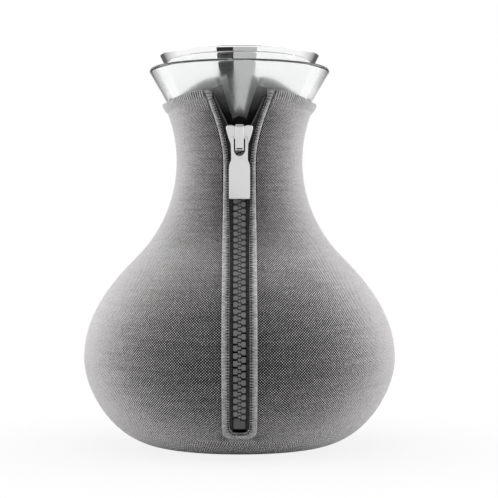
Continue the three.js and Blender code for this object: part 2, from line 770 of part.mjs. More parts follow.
// Neck seal: a sleeve with two fins that reach the glass
const neckInner = (z) => radiusOn(innerSide, z);
const sealFoot = spigotFoot + 1.4 + FIT;
const sealH = SPIGOT_L - 5;
const sealBody = SPIGOT_R + FIT + 1.1;
const sealLine = [v2(SPIGOT_R + FIT, sealFoot), v2(sealBody, sealFoot)];
for (let i = 0; i < 2; i += 1) {
  const z = sealFoot + sealH * (0.25 + 0.5 * i);
  const reach = Math.max(sealBody + 0.4, neckInner(z) - FIT);
  sealLine.push(v2(sealBody, z - 1), v2(reach, z - 0.1), v2(reach, z + 0.5), v2(sealBody, z + 1));
}
sealLine.push(v2(sealBody, sealFoot + sealH), v2(SPIGOT_R + FIT, sealFoot + sealH));
const neck_seal = turned(sealLine, 24);

// Strainer: a slotted tube hung from a ring that rests in the funnel's cone
const tubeR = throatR - 2 * FIT - 1.1;
const tubeTop = innerThroatZ - 1.6;
const tubeFoot = tubeTop - STRAINER_L;
let strainer_tube = turned(
  [
    v2(tubeR - STRAINER_T, tubeFoot),
    v2(tubeR, tubeFoot),
    v2(tubeR, tubeTop),
    v2(tubeR - STRAINER_T, tubeTop),
  ],
  24,
);
const rowH = (STRAINER_L - STRAINER_FOOT_BAND - STRAINER_TOP_BAND) / STRAINER_ROWS;
for (let row = 0; row < STRAINER_ROWS; row += 1)
  for (let n = 0; n < STRAINER_AROUND / 2; n += 1) {
    const slot = new THREE.BoxGeometry(STRAINER_SLOT_W, 3 * tubeR, 0.74 * rowH);
    slot.rotateZ(((n + 0.5) * 2 * Math.PI) / STRAINER_AROUND);
    slot.translate(0, 0, tubeFoot + STRAINER_FOOT_BAND + rowH * (row + 0.5));
    strainer_tube = strainer_tube.subtract(solidOf(slot));
  }

const ringTop = innerThroatZ + STRAINER_RING_RISE;
const ringSeat = (z) => funnelInner(z) - FIT / Math.cos(funnelFlare);
const ringMidZ = innerThroatZ + FIT;
const strainer_ring = turned(
  [
    v2(tubeR + FIT, tubeTop - STRAINER_RING_DROP),
    v2(throatR - FIT, tubeTop - STRAINER_RING_DROP),
    v2(Math.min(throatR - FIT, ringSeat(ringMidZ)), ringMidZ),
    v2(ringSeat(ringTop), ringTop),
    v2(ringSeat(ringTop) - 1.3, ringTop + 0.5),
    v2(tubeR - STRAINER_T, ringMidZ + 1),
    v2(tubeR - STRAINER_T, tubeTop + FIT),
    v2(tubeR + FIT, tubeTop + FIT),
  ],
  24,
);

const cupR = tubeR - STRAINER_T - FIT;
const baseFloor = tubeFoot - STRAINER_T - FIT;
let strainer_base = turned(
  [
    v2(0, baseFloor - STRAINER_BASE_T),
    v2(tubeR - 1, baseFloor - STRAINER_BASE_T),
    v2(tubeR, baseFloor - 0.35 * STRAINER_BASE_T),
    v2(tubeR, tubeFoot - FIT),
    v2(cupR, tubeFoot - FIT),
    v2(cupR, tubeFoot + STRAINER_CUP_H),
    v2(cupR - 0.9, tubeFoot + STRAINER_CUP_H),
    v2(cupR - 0.9, baseFloor),
    v2(0, baseFloor),
  ],
  24,
);
for (let n = 0; n < 6; n += 1) {
  const hole = new THREE.CylinderGeometry(DRAIN_HOLE_R, DRAIN_HOLE_R, 3 * STRAINER_CUP_H, 6);
  hole.rotateX(Math.PI / 2);
  hole.translate(0.55 * cupR, 0, tubeFoot);
  hole.rotateZ((n * Math.PI) / 3);
  strainer_base = strainer_base.subtract(solidOf(hole));
}

// Lid: a dished plate on a gasket, with a turned knob
const lidZ = rimZ - LID_DROP;
const lidR = funnelInner(lidZ - LID_T) - 2 * FIT;
const gasketFoot = lidZ - 0.2 + FIT;
const gasketTop = lidZ + LID_RIM_H - 0.6;
const SCREW_R = 1.5;
const lid_plate = turned(
  [
    v2(SCREW_R + FIT, lidZ - LID_T),
    v2(lidR, lidZ - LID_T),
    v2(lidR, lidZ - 0.2),
    v2(lidR - 1, lidZ - 0.2),
    v2(lidR - 1, lidZ + LID_RIM_H),
    v2(lidR - 2.2, lidZ + LID_RIM_H),
    v2(lidR - 5.5, lidZ),
    v2(SCREW_R + FIT, lidZ),
  ],
  24,
);
const lid_gasket = turned(
  [
    v2(lidR - 1 + FIT, gasketFoot),
    v2(funnelInner(gasketFoot) - FIT / Math.cos(funnelFlare), gasketFoot),
    v2(funnelInner(gasketTop) - FIT / Math.cos(funnelFlare), gasketTop),
    v2(lidR - 1 + FIT, gasketTop),
  ],
  SEGMENTS,
);
const knobFoot = lidZ + FIT;
const lid_knob = turned(
  [
    v2(0, knobFoot + 0.6 * KNOB_H),
    v2(SCREW_R + FIT, knobFoot + 0.6 * KNOB_H),
    v2(SCREW_R + FIT, knobFoot),
    v2(0.62 * KNOB_R, knobFoot),
    v2(0.45 * KNOB_R, knobFoot + 0.25 * KNOB_H),
    v2(0.95 * KNOB_R, knobFoot + 0.6 * KNOB_H),
    v2(KNOB_R, knobFoot + 0.78 * KNOB_H),
    v2(0.8 * KNOB_R, knobFoot + 0.95 * KNOB_H),
    v2(0, knobFoot + KNOB_H),
  ],
  20,
);
const headZ = lidZ - LID_T - FIT;
const lid_screw = turned(
  [
    v2(0, headZ - 1.6),
    v2(2.6, headZ - 1.6),
    v2(3.2, headZ),
    v2(SCREW_R, headZ),
    v2(SCREW_R, knobFoot + 0.55 * KNOB_H),
    v2(0, knobFoot + 0.55 * KNOB_H),
  ],
  16,
);

// The assembly
const group = new THREE.Group();
group.name = "tea_maker";
const pieces = [
  ["glass_flask", glass_flask, GLASS],
  ["jacket_shell", jacket_shell, FABRIC],
  ["jacket_base", jacket_base, FABRIC],
  ["jacket_hem", jacket_hem, FABRIC],
  ["zip_welt", zip_welt, BINDING],
  ["zip_tape_left", tape(-1), DARK_TAPE],
  ["zip_tape_right", tape(1), DARK_TAPE],
  ["zip_guard", zip_guard, DARK_TAPE],
  ["zip_teeth_left", leftRow.solid, TOOTH_PLASTIC],
  ["zip_teeth_right", rightRow.solid, TOOTH_PLASTIC],
  ["zip_bottom_stop", zip_bottom_stop, TOOTH_PLASTIC],
  ["zip_top_stop_left", topStop(-1, leftRow), SATIN_METAL],
  ["zip_top_stop_right", topStop(1, rightRow), SATIN_METAL],
  ["slider_body", slider_body, SATIN_METAL],
  ["slider_cap", slider_cap, SATIN_METAL],
  ["slider_lock", slider_lock, SATIN_METAL],
  ["pull_tab", pull_tab, SATIN_METAL],
  ["pour_funnel", pour_funnel, STEEL],
  ["neck_seal", neck_seal, SILICONE],
  ["strainer_ring", strainer_ring, STEEL],
  ["strainer_tube", strainer_tube, STEEL],
  ["strainer_base", strainer_base, STEEL],
  ["lid_plate", lid_plate, STEEL],
  ["lid_gasket", lid_gasket, SILICONE],
  ["lid_knob", lid_knob, STEEL],
  ["lid_screw", lid_screw, STEEL],
];
for (const [name, solid, material] of pieces) {
  const mesh = new THREE.Mesh(geometryOf(solid), material);
  mesh.name = name;
  group.add(mesh);
}

export default group;
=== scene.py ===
"""Looks of the tea maker: a glass flask in a zipped jacket, with a steel funnel and lid."""

import logging
import math
from dataclasses import dataclass, field
from enum import Enum
from typing import Callable

import bpy
from mathutils import Matrix, Vector


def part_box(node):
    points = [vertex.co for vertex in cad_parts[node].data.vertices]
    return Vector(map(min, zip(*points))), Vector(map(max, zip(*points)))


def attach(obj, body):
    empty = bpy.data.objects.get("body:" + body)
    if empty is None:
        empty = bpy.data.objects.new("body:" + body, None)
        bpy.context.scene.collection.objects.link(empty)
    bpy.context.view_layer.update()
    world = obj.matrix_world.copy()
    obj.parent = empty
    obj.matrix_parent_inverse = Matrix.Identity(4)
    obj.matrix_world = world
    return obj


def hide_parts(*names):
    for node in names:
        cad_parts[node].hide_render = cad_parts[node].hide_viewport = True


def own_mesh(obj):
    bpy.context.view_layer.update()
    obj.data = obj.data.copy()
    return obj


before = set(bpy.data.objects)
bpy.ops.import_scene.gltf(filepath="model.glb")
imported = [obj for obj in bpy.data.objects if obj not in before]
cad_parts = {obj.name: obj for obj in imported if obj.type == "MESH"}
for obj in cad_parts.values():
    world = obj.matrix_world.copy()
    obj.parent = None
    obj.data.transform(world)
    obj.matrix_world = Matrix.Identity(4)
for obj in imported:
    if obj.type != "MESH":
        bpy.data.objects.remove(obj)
log = logging.getLogger("tea_maker")

MM = 0.001
MERGE = 2e-6
WEAVE = "weave"
Point = tuple[float, float]
Colour = tuple[float, float, float]
Corner = tuple[float, float, float]
Obj = bpy.types.Object
Material = bpy.types.Material
Socket = bpy.types.NodeSocket


class Body(Enum):
    """The moving bodies that pieces ride on."""

    VESSEL = "vessel"
    SLIDER = "slider"
    PULL = "pull"
    FUNNEL = "funnel"
    STRAINER = "strainer"
    LID = "lid"


class Side(Enum):
    """The two sides of the zip."""

    LEFT = -1
    RIGHT = 1


# Modelling helpers


def begin() -> None:
    """Leaves edit mode and deselects everything, so that an operator acts on one piece."""
    if bpy.context.object is not None and bpy.context.object.mode != "OBJECT":
        bpy.ops.object.mode_set(mode="OBJECT")
    bpy.ops.object.select_all(action="DESELECT")


def pick(obj: Obj) -> None:
    """Selects one piece alone and makes it active.

    Args:
        obj: The piece.
    """
    begin()
    bpy.context.view_layer.objects.active = obj
    obj.select_set(True)


def edit(obj: Obj) -> None:
    """Opens a piece in edit mode with all of it selected.

    Args:
        obj: The piece to open.
    """
    pick(obj)
    bpy.ops.object.mode_set(mode="EDIT")
    bpy.ops.mesh.select_all(action="SELECT")


def close(obj: Obj) -> None:
    """Merges doubles, turns the faces outwards and leaves edit mode.

    Args:
        obj: The piece that is open in edit mode.
    """
    bpy.ops.mesh.select_all(action="SELECT")
    bpy.ops.mesh.remove_doubles(threshold=MERGE)
    bpy.ops.mesh.normals_make_consistent(inside=False)
    bpy.ops.object.mode_set(mode="OBJECT")
    obj.select_set(False)


def named(name: str) -> Obj:
    """Names the primitive that was just added and puts its place into its mesh.

    Args:
        name: The piece's name.

    Returns:
        The new piece, with its object at the origin.
    """
    obj = bpy.context.object
    obj.name = name
    obj.data.name = name
    obj.data.transform(obj.matrix_world)
    obj.matrix_world = Matrix.Identity(4)
    return obj


def apply(obj: Obj, kind: str, **settings: object) -> None:
    """Adds a modifier, sets it and applies it.

    Args:
        obj: The piece.
        kind: The modifier's type.
        settings: Its values by name.
    """
    pick(obj)
    modifier = obj.modifiers.new(kind.title(), kind)
    for key, value in settings.items():
        setattr(modifier, key, value)
    bpy.ops.object.modifier_apply(modifier=modifier.name)


def bevel(obj: Obj, width: float, segments: int, degrees: float = 50) -> None:
    """Rounds edges sharper than an angle, by a width in millimetres."""
    sharp = {"limit_method": "ANGLE", "angle_limit": math.radians(degrees)}
    apply(obj, "BEVEL", width=width * MM, segments=segments, **sharp)


def smooth(obj: Obj, degrees: float = 35) -> None:
    """Shades a piece smooth, with creases where faces meet at more than an angle."""
    pick(obj)
    bpy.ops.object.shade_smooth_by_angle(angle=math.radians(degrees))


def lathe(name: str, points: list[Point], steps: int, closed: bool = True) -> Obj:
    """Turns an outline about the upright axis.

    Args:
        name: The piece's name.
        points: Radius and height of each point, in millimetres.
        steps: How many steps make the full turn.
        closed: Whether the last point joins the first.

    Returns:
        The turned piece, smooth shaded.
    """
    begin()
    run = [Vector((0, -r * MM, z * MM)) for r, z in points]
    if closed:
        run.append(run[0])
    bpy.ops.mesh.primitive_plane_add(size=MM, location=run[0])
    obj = named(name)
    edit(obj)
    bpy.ops.mesh.merge(type="CENTER")
    for a, b in zip(run, run[1:]):
        bpy.ops.mesh.extrude_region_move(TRANSFORM_OT_translate={"value": b - a})
    bpy.ops.mesh.select_all(action="SELECT")
    bpy.ops.mesh.spin(steps=steps, angle=math.tau, center=(0, 0, 0), axis=(0, 0, 1))
    close(obj)
    smooth(obj)
    return obj


def sweep(name: str, rows: list[list[Vector]], round_section: bool = True) -> Obj:
    """Shapes a grid into a skin over rows of points.

    Args:
        name: The piece's name.
        rows: Points across each place of the run, all rows of one length, in metres.
        round_section: Whether each row closes on itself, and the two ends get a face.

    Returns:
        The new piece, smooth shaded.
    """
    begin()
    if round_section:
        rows = [[*row, row[0]] for row in rows]
    across = len(rows[0])
    bpy.ops.mesh.primitive_grid_add(x_subdivisions=across - 1, y_subdivisions=len(rows) - 1)
    obj = named(name)
    obj.data.vertices.foreach_set("co", [c for row in rows for p in row for c in p])
    edit(obj)
    bpy.ops.mesh.remove_doubles(threshold=MERGE)
    if round_section:
        bpy.ops.mesh.select_all(action="SELECT")
        bpy.ops.mesh.fill_holes(sides=0)
    close(obj)
    smooth(obj, 50)
    return obj


def plate(name: str, outline: list[Point], low: float, high: float) -> Obj:
    """Raises a flat outline to a thickness, in a frame of its own.

    Args:
        name: The piece's name.
        outline: Points round the edge, counterclockwise, in millimetres.
        low: Height of the underside.
        high: Height of the top.

    Returns:
        The plate, closed and facing out.
    """
    begin()
    bpy.ops.mesh.primitive_circle_add(vertices=len(outline), radius=MM, fill_type="NGON")
    obj = named(name)
    for vertex, (x, y) in zip(obj.data.vertices, outline):
        vertex.co = (x * MM, y * MM, low * MM)
    edit(obj)
    bpy.ops.mesh.extrude_region_move(TRANSFORM_OT_translate={"value": (0, 0, (high - low) * MM)})
    close(obj)
    return obj


def join(name: str, parts: list[Obj]) -> Obj:
    """Joins loose parts into one piece.

    Args:
        name: The name of the joined piece.
        parts: The parts, of which the first takes the others in.

    Returns:
        The joined piece.
    """
    begin()
    bpy.context.view_layer.objects.active = parts[0]
    for part in parts:
        part.select_set(True)
    bpy.ops.object.join()
    return named(name)


def copies(one: Obj, places: list[Matrix]) -> list[Obj]:
    """Copies a piece to each of some places, and removes the piece itself.

    Args:
        one: The piece.
        places: Where the copies go.

    Returns:
        The copies, each with its own mesh.
    """
    made = []
    for place in places:
        copy = one.copy()
        copy.data = one.data.copy()
        copy.data.transform(place)
        bpy.context.scene.collection.objects.link(copy)
        made.append(copy)
    begin()
    bpy.data.objects.remove(one)
    return made


def lay(obj: Obj, rule: Callable[[Vector], Point]) -> None:
    """Lays the weave map over a piece.

    Args:
        obj: The piece.
        rule: Gives the place in the weave of a point in millimetres.
    """
    layer = obj.data.uv_layers.new(name=WEAVE)
    for loop in obj.data.loops:
        layer.data[loop.index].uv = rule(obj.data.vertices[loop.vertex_index].co / MM)


def cut(obj: Obj, cutter: Obj) -> None:
    """Cuts one piece out of another and removes the cutter.

    Args:
        obj: The piece that is cut.
        cutter: The shape that is taken away.
    """
    apply(obj, "BOOLEAN", object=cutter, operation="DIFFERENCE", solver="EXACT")
    begin()
    mesh = cutter.data
    bpy.data.objects.remove(cutter)
    bpy.data.meshes.remove(mesh)


def bezier(points: list[Point], count: int) -> list[Point]:
    """Points of a Bezier curve, its first end left out.

    Args:
        points: Its three or four control points.
        count: How many points.

    Returns:
        The points, the last end among them.
    """
    made = []
    for i in range(1, count + 1):
        t = i / count
        run = [Vector(p) for p in points]
        while len(run) > 1:
            run = [a.lerp(b, t) for a, b in zip(run, run[1:])]
        made.append((run[0].x, run[0].y))
    return made


def mirrored(right: list[Point]) -> list[Point]:
    """Completes the right half of an outline with its mirror image."""
    return right + [(-x, y) for x, y in reversed(right)]


def rolled_rim(middle: Vector, radius: float, flare: float) -> list[Point]:
    """The half round of a rim on a wall that leans by the flare, from outside over the top."""
    turns = [-flare + math.pi * i / 12 for i in range(13)]
    return [(middle.x + radius * math.cos(a), middle.y + radius * math.sin(a)) for a in turns]


def ease(value: float, low: float, high: float) -> float:
    """Smooth step from 0 at low to 1 at high."""
    t = min(max((value - low) / (high - low), 0), 1)
    return t * t * (3 - 2 * t)


# Finishes


class Tree:
    """A small writer of shader nodes."""

    def __init__(self, tree: bpy.types.NodeTree) -> None:
        """Starts on an emptied tree."""
        self.tree = tree
        tree.nodes.clear()

    def add(self, kind: str, **settings: object) -> bpy.types.Node:
        """Adds a node.

        Args:
            kind: The node's type.
            settings: Its properties by name.

        Returns:
            The node.
        """
        node = self.tree.nodes.new(kind)
        for key, value in settings.items():
            setattr(node, key, value)
        return node

    def link(self, source: Socket, target: Socket) -> None:
        """Links one socket to another."""
        self.tree.links.new(source, target)

    def feed(self, socket: Socket, value: object) -> None:
        """Links a socket, or sets its value.

        Args:
            socket: The socket that takes it.
            value: Another node's socket, or a plain value.
        """
        if isinstance(value, Socket):
            self.link(value, socket)
        else:
            socket.default_value = value

    def math(self, operation: str, *values: object) -> Socket:
        """A math node.

        Args:
            operation: What it does.
            values: Its inputs in order.

        Returns:
            Its result.
        """
        node = self.add("ShaderNodeMath", operation=operation)
        for socket, value in zip(node.inputs, values):
            self.feed(socket, value)
        return node.outputs[0]

    def plus(self, first: object, *others: object) -> Socket:
        """The sum of some values.

        Args:
            first: The first value.
            others: The values that it is added with.

        Returns:
            The sum.
        """
        for other in others:
            first = self.math("ADD", first, other)
        return first

    def times(self, first: object, *others: object) -> Socket:
        """The product of some values.

        Args:
            first: The first value.
            others: The values that it is multiplied with.

        Returns:
            The product.
        """
        for other in others:
            first = self.math("MULTIPLY", first, other)
        return first

    def swing(self, value: Socket, share: float) -> Socket:
        """A share of a value from 0 to 1, swung about nothing."""
        return self.times(self.math("SUBTRACT", value, 0.5), share)

    def wave(self, turns: Socket) -> Socket:
        """The cosine of a number of turns."""
        return self.math("COSINE", self.times(turns, math.tau))

    def place(self, uv: str = "") -> Socket:
        """Where a pattern is read.

        Args:
            uv: A UV map's name, or nothing for object coordinates.

        Returns:
            The place.
        """
        if uv:
            return self.add("ShaderNodeUVMap", uv_map=uv).outputs["UV"]
        return self.add("ShaderNodeTexCoord").outputs["Object"]

    def axis(self, where: Socket, letter: str) -> Socket:
        """One coordinate of a place.

        Args:
            where: The place.
            letter: X, Y or Z.

        Returns:
            The coordinate.
        """
        node = self.add("ShaderNodeSeparateXYZ")
        self.link(where, node.inputs[0])
        return node.outputs[letter]

    def span(self, value: Socket, ends: Point, to: Point = (0, 1), soft: bool = True) -> Socket:
        """Maps a value from one range to another and holds it there.

        Args:
            value: The value.
            ends: The range that it comes from.
            to: The range that it goes to.
            soft: Whether it starts and ends smoothly.

        Returns:
            The mapped value.
        """
        node = self.add("ShaderNodeMapRange")
        if soft:
            node.interpolation_type = "SMOOTHSTEP"
        self.link(value, node.inputs["Value"])
        for key, number in zip(("From Min", "From Max", "To Min", "To Max"), (*ends, *to)):
            node.inputs[key].default_value = number
        return node.outputs["Result"]

    def seen(self) -> Socket:
        """Whether a ray comes from the eye, a reflection or through glass.

        Returns:
            0 or 1.
        """
        path = self.add("ShaderNodeLightPath")
        kinds = ("Camera", "Glossy", "Transmission")
        rays = [path.outputs[f"Is {kind} Ray"] for kind in kinds]
        return self.math("MINIMUM", self.plus(*rays), 1)

    def blend(self, share: Socket, first: Socket, second: Socket) -> Socket:
        """Mixes two shaders.

        Args:
            share: The share of the second.
            first: One shader.
            second: The other.

        Returns:
            The mixed shader.
        """
        node = self.add("ShaderNodeMixShader")
        for socket, value in zip(node.inputs, (share, first, second)):
            self.link(value, socket)
        return node.outputs[0]


class Nodes(Tree):
    """The nodes of one material, with its shader."""

    def __init__(self, name: str) -> None:
        """Makes a material with one shader and its output.

        Args:
            name: The material's name.
        """
        self.material = bpy.data.materials.new(name)
        self.material.use_nodes = True
        super().__init__(self.material.node_tree)
        self.shader = self.add("ShaderNodeBsdfPrincipled")
        self.output = self.add("ShaderNodeOutputMaterial")
        self.link(self.shader.outputs["BSDF"], self.output.inputs["Surface"])

    def noise(self, where: Socket, scale: float, detail: float = 3) -> Socket:
        """Smooth noise from 0 to 1.

        Args:
            where: The place that it is read at.
            scale: Its scale.
            detail: Its finer levels.

        Returns:
            The noise.
        """
        node = self.add("ShaderNodeTexNoise")
        self.link(where, node.inputs["Vector"])
        node.inputs["Scale"].default_value = scale
        node.inputs["Detail"].default_value = detail
        return node.outputs["Fac"]

    def ramp(self, factor: Socket, *stops: tuple[float, tuple[float, ...]]) -> Socket:
        """A colour ramp.

        Args:
            factor: What it reads.
            stops: Place and colour of each stop.

        Returns:
            The colour.
        """
        node = self.add("ShaderNodeValToRGB")
        elements = node.color_ramp.elements
        while len(elements) < len(stops):
            elements.new(0.5)
        for element, (position, colour) in zip(elements, stops):
            element.position = position
            element.color = (*colour, 1)
        self.link(factor, node.inputs["Fac"])
        return node.outputs["Color"]

    def painted_sheen(self, share: float) -> Socket:
        """How far a surface is seen edge-on: painted sheen, which lightens a colour towards the
        rim.

        Args:
            share: The value at the very edge.

        Returns:
            The share of it.
        """
        node = self.add("ShaderNodeLayerWeight")
        node.inputs["Blend"].default_value = 0.5
        return self.times(self.math("POWER", node.outputs["Facing"], 1.8), share)

    def bump(self, height: Socket, distance: float, strength: float = 1) -> None:
        """Bumps the shader.

        Args:
            height: The height that it reads.
            distance: How far a height of one stands out, in metres.
            strength: How much of it shows.
        """
        node = self.add("ShaderNodeBump")
        node.inputs["Distance"].default_value = distance
        node.inputs["Strength"].default_value = strength
        self.link(height, node.inputs["Height"])
        self.link(node.outputs["Normal"], self.shader.inputs["Normal"])

    def set(self, **values: object) -> None:
        """Sets the shader's sockets by name, with an underscore for each space."""
        for key, value in values.items():
            self.feed(self.shader.inputs[key.replace("_", " ")], value)


def grey(value: float, warm: float = 0.0) -> Colour:
    """A grey as linear colour, a little warm."""
    return (value * (1 + warm), value * (1 - 0.6 * warm), value)


@dataclass(frozen=True)
class WovenFinish:
    """The jacket's weave: light floats in a diagonal grid on a dark ground, with painted sheen
    towards the rim and painted light up the neck.
    """

    name: str = "jacket_weave"
    dark: float = 0.004
    middle: float = 0.05
    light: float = 0.92
    # lift and the next field are painted sheen: they lighten the colour where the cloth is seen
    # edge-on.
    lift: float = 1.9
    painted_rim_sheen: float = 0.9
    floats: Point = (0.28, 0.22)
    wander: float = 0.6
    fleck: float = 0.4
    slub: float = 0.22
    slub_cells: Corner = (0.05, 0.55, 1)
    stops: tuple[float, ...] = (0.55, 0.69, 0.93)
    # The next two fields are painted light: they make the weave lighter up the neck, between two
    # heights.
    neck_painted_light_z: Point = (0.1, 0.15)
    neck_painted_light: float = 0.125

    def make(self) -> Material:
        """Makes the material.

        Returns:
            The material.
        """
        n = Nodes(self.name)
        where, uv = n.place(), n.place(WEAVE)
        shift = n.swing(n.noise(where, 90, 2), self.wander)
        u = n.plus(n.axis(uv, "X"), shift)
        v = n.plus(n.axis(uv, "Y"), shift)
        rising = n.wave(n.math("SUBTRACT", u, v))
        falling = n.wave(n.plus(u, v))
        lattice = n.plus(n.times(rising, self.floats[0]), n.times(falling, self.floats[1]))
        height = n.plus(lattice, 0.5, n.swing(n.noise(where, 900, 2), self.fleck))
        drawn = n.add("ShaderNodeVectorMath", operation="MULTIPLY")
        n.link(uv, drawn.inputs[0])
        drawn.inputs[1].default_value = self.slub_cells
        slub = n.swing(n.noise(drawn.outputs[0], 1, 3), self.slub)
        # Painted light: the tone, and so the colour, rises with height up the neck.
        tone = n.plus(height, slub, n.span(n.axis(where, "Z"), self.neck_painted_light_z, (0, self.neck_painted_light)))
        # Painted sheen: the edge-on share lifts the tone, and with it the colour, towards light
        # grey at the rim.
        edge = n.painted_sheen(1)
        painted_sheen_tone = n.times(tone, n.plus(n.times(edge, self.lift), 1))
        n.set(
            Base_Color=n.ramp(
                n.plus(painted_sheen_tone, n.times(edge, edge, self.painted_rim_sheen)),
                (self.stops[0], grey(self.dark)),
                (self.stops[1], grey(self.middle, 0.03)),
                (self.stops[2], grey(self.light, 0.02)),
            ),
            Roughness=0.92,
            Specular_IOR_Level=0.25,
            Sheen_Weight=1.0,
            Sheen_Roughness=0.48,
            Sheen_Tint=(0.96, 0.95, 0.953, 1),
        )
        n.bump(height, 0.00035, 0.8)
        return n.material


@dataclass(frozen=True)
class RibbedFinish:
    """Folded binding: fine ribs across the run, with darker gaps, and painted sheen that lightens
    the colour towards the rim.
    """

    name: str
    dark: float
    light: float
    ribs: float = 1.0
    strength: float = 0.35
    sheen: float = 0.3
    # lift is painted sheen: how much the colour lightens where the binding is seen edge-on.
    lift: float = 0.4

    def make(self) -> Material:
        """Makes the material.

        Returns:
            The material.
        """
        n = Nodes(self.name)
        rough = n.noise(n.place(), 500, 3)
        turns = n.plus(n.times(n.axis(n.place(WEAVE), "X"), self.ribs), n.times(rough, 0.55))
        height = n.plus(n.times(n.wave(turns), self.strength), n.times(rough, 0.9))
        n.set(
            Base_Color=n.ramp(
                # Painted sheen: the edge-on share lifts the colour at the rim.
                n.plus(height, n.painted_sheen(self.lift)),
                (0.05, grey(self.dark)),
                (0.85, grey(self.light, 0.006)),
            ),
            Roughness=0.9,
            Specular_IOR_Level=0.25,
            Sheen_Weight=self.sheen,
            Sheen_Roughness=0.45,
        )
        n.bump(height, 0.0003, 0.6)
        return n.material


@dataclass(frozen=True)
class FacingFinish:
    """The facing behind the zip, with painted shade: black deep in the V where the teeth close,
    lighter towards the open top of its wings.
    """

    name: str = "zip_facing"
    dark: float = 0.006
    middle: float = 0.09
    light: float = 0.4
    wing_z: Point = (0.1665, 0.184)

    def make(self) -> Material:
        """Makes the material.

        Returns:
            The material.
        """
        n = Nodes(self.name)
        where = n.place()
        fleck = n.noise(where, 700, 3)
        # Painted shade: the colour darkens from the wings' top down into the V.
        rise = n.span(n.axis(where, "Z"), self.wing_z, soft=False)
        n.set(
            Base_Color=n.ramp(
                n.plus(rise, n.swing(fleck, 0.25)),
                (0.05, grey(self.dark)),
                (0.5, grey(self.middle)),
                (1.0, grey(self.light)),
            ),
            Roughness=0.85,
            Specular_IOR_Level=0.2,
        )
        n.bump(fleck, 0.0002, 0.5)
        return n.material


@dataclass(frozen=True)
class SpunFinish:
    """Satin or polished metal, with faint wear that changes its gloss."""

    name: str
    colour: Colour
    roughness: float
    wear: float
    grain: float = 0.0
    satin: float = 0.0
    satin_z: Point = (0.192, 0.182)

    def make(self) -> Material:
        """Makes the material; a satin share is rougher below a height.

        Returns:
            The material.
        """
        n = Nodes(self.name)
        where = n.place()
        smear = n.noise(where, 60, 4)
        roughness = n.swing(smear, self.wear)
        if self.satin:
            roughness = n.plus(roughness, n.span(n.axis(where, "Z"), self.satin_z, (0, self.satin)))
        n.set(
            Base_Color=n.ramp(
                smear,
                (0.3, tuple(0.96 * c for c in self.colour)),
                (0.7, self.colour),
            ),
            Metallic=1.0,
            Roughness=n.plus(roughness, self.roughness),
        )
        if self.grain:
            n.bump(n.noise(where, 2400, 2), 0.00004, self.grain)
        return n.material


@dataclass(frozen=True)
class MouldedFinish:
    """Moulded plastic or silicone with a fine skin."""

    name: str
    colour: Colour
    roughness: float
    skin: float = 0.4

    def make(self) -> Material:
        """Makes the material.

        Returns:
            The material.
        """
        n = Nodes(self.name)
        where = n.place()
        cloud = n.noise(where, 150, 3)
        fine = n.noise(where, 1800, 2)
        n.set(
            Base_Color=n.ramp(
                cloud,
                (0.25, tuple(0.82 * c for c in self.colour)),
                (0.75, self.colour),
            ),
            Roughness=n.plus(n.times(fine, 0.16), self.roughness - 0.08),
            Specular_IOR_Level=0.45,
        )
        n.bump(fine, 0.00006, self.skin)
        return n.material


@dataclass(frozen=True)
class GlassFinish:
    """Clear blown glass with a trace of grey-green and of water marks."""

    name: str = "clear_glass"

    def make(self) -> Material:
        """Makes the material.

        Returns:
            The material.
        """
        n = Nodes(self.name)
        film = n.noise(n.place(), 40, 3)
        n.set(
            Base_Color=(0.985, 0.99, 0.988, 1),
            Transmission_Weight=1.0,
            IOR=1.5,
            Roughness=n.times(film, 0.03),
        )
        return n.material


def line_inside(obj: Obj, lining: Material) -> None:
    """Gives the faces that look at the upright axis a finish of their own.

    Args:
        obj: The piece.
        lining: The finish.
    """
    obj.data.materials.append(lining)
    for face in obj.data.polygons:
        if face.normal.xy.dot(face.center.xy.normalized()) < -0.3:
            face.material_index = len(obj.data.materials) - 1


def dress(obj: Obj, material: Material, slot: str, body: Body, *nodes: str) -> None:
    """Gives a piece its finish, its body and the solids that it stands for.

    Args:
        obj: The piece.
        material: Its finish.
        slot: The record's material slot; not used.
        body: The body that it rides on.
        nodes: The solids that it replaces.
    """
    obj.data.materials.clear()
    obj.data.materials.append(material)
    if nodes:
        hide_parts(*nodes)
    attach(obj, body.value)
    log.info("%s: %d faces", obj.name, len(obj.data.polygons))


# The shared outline


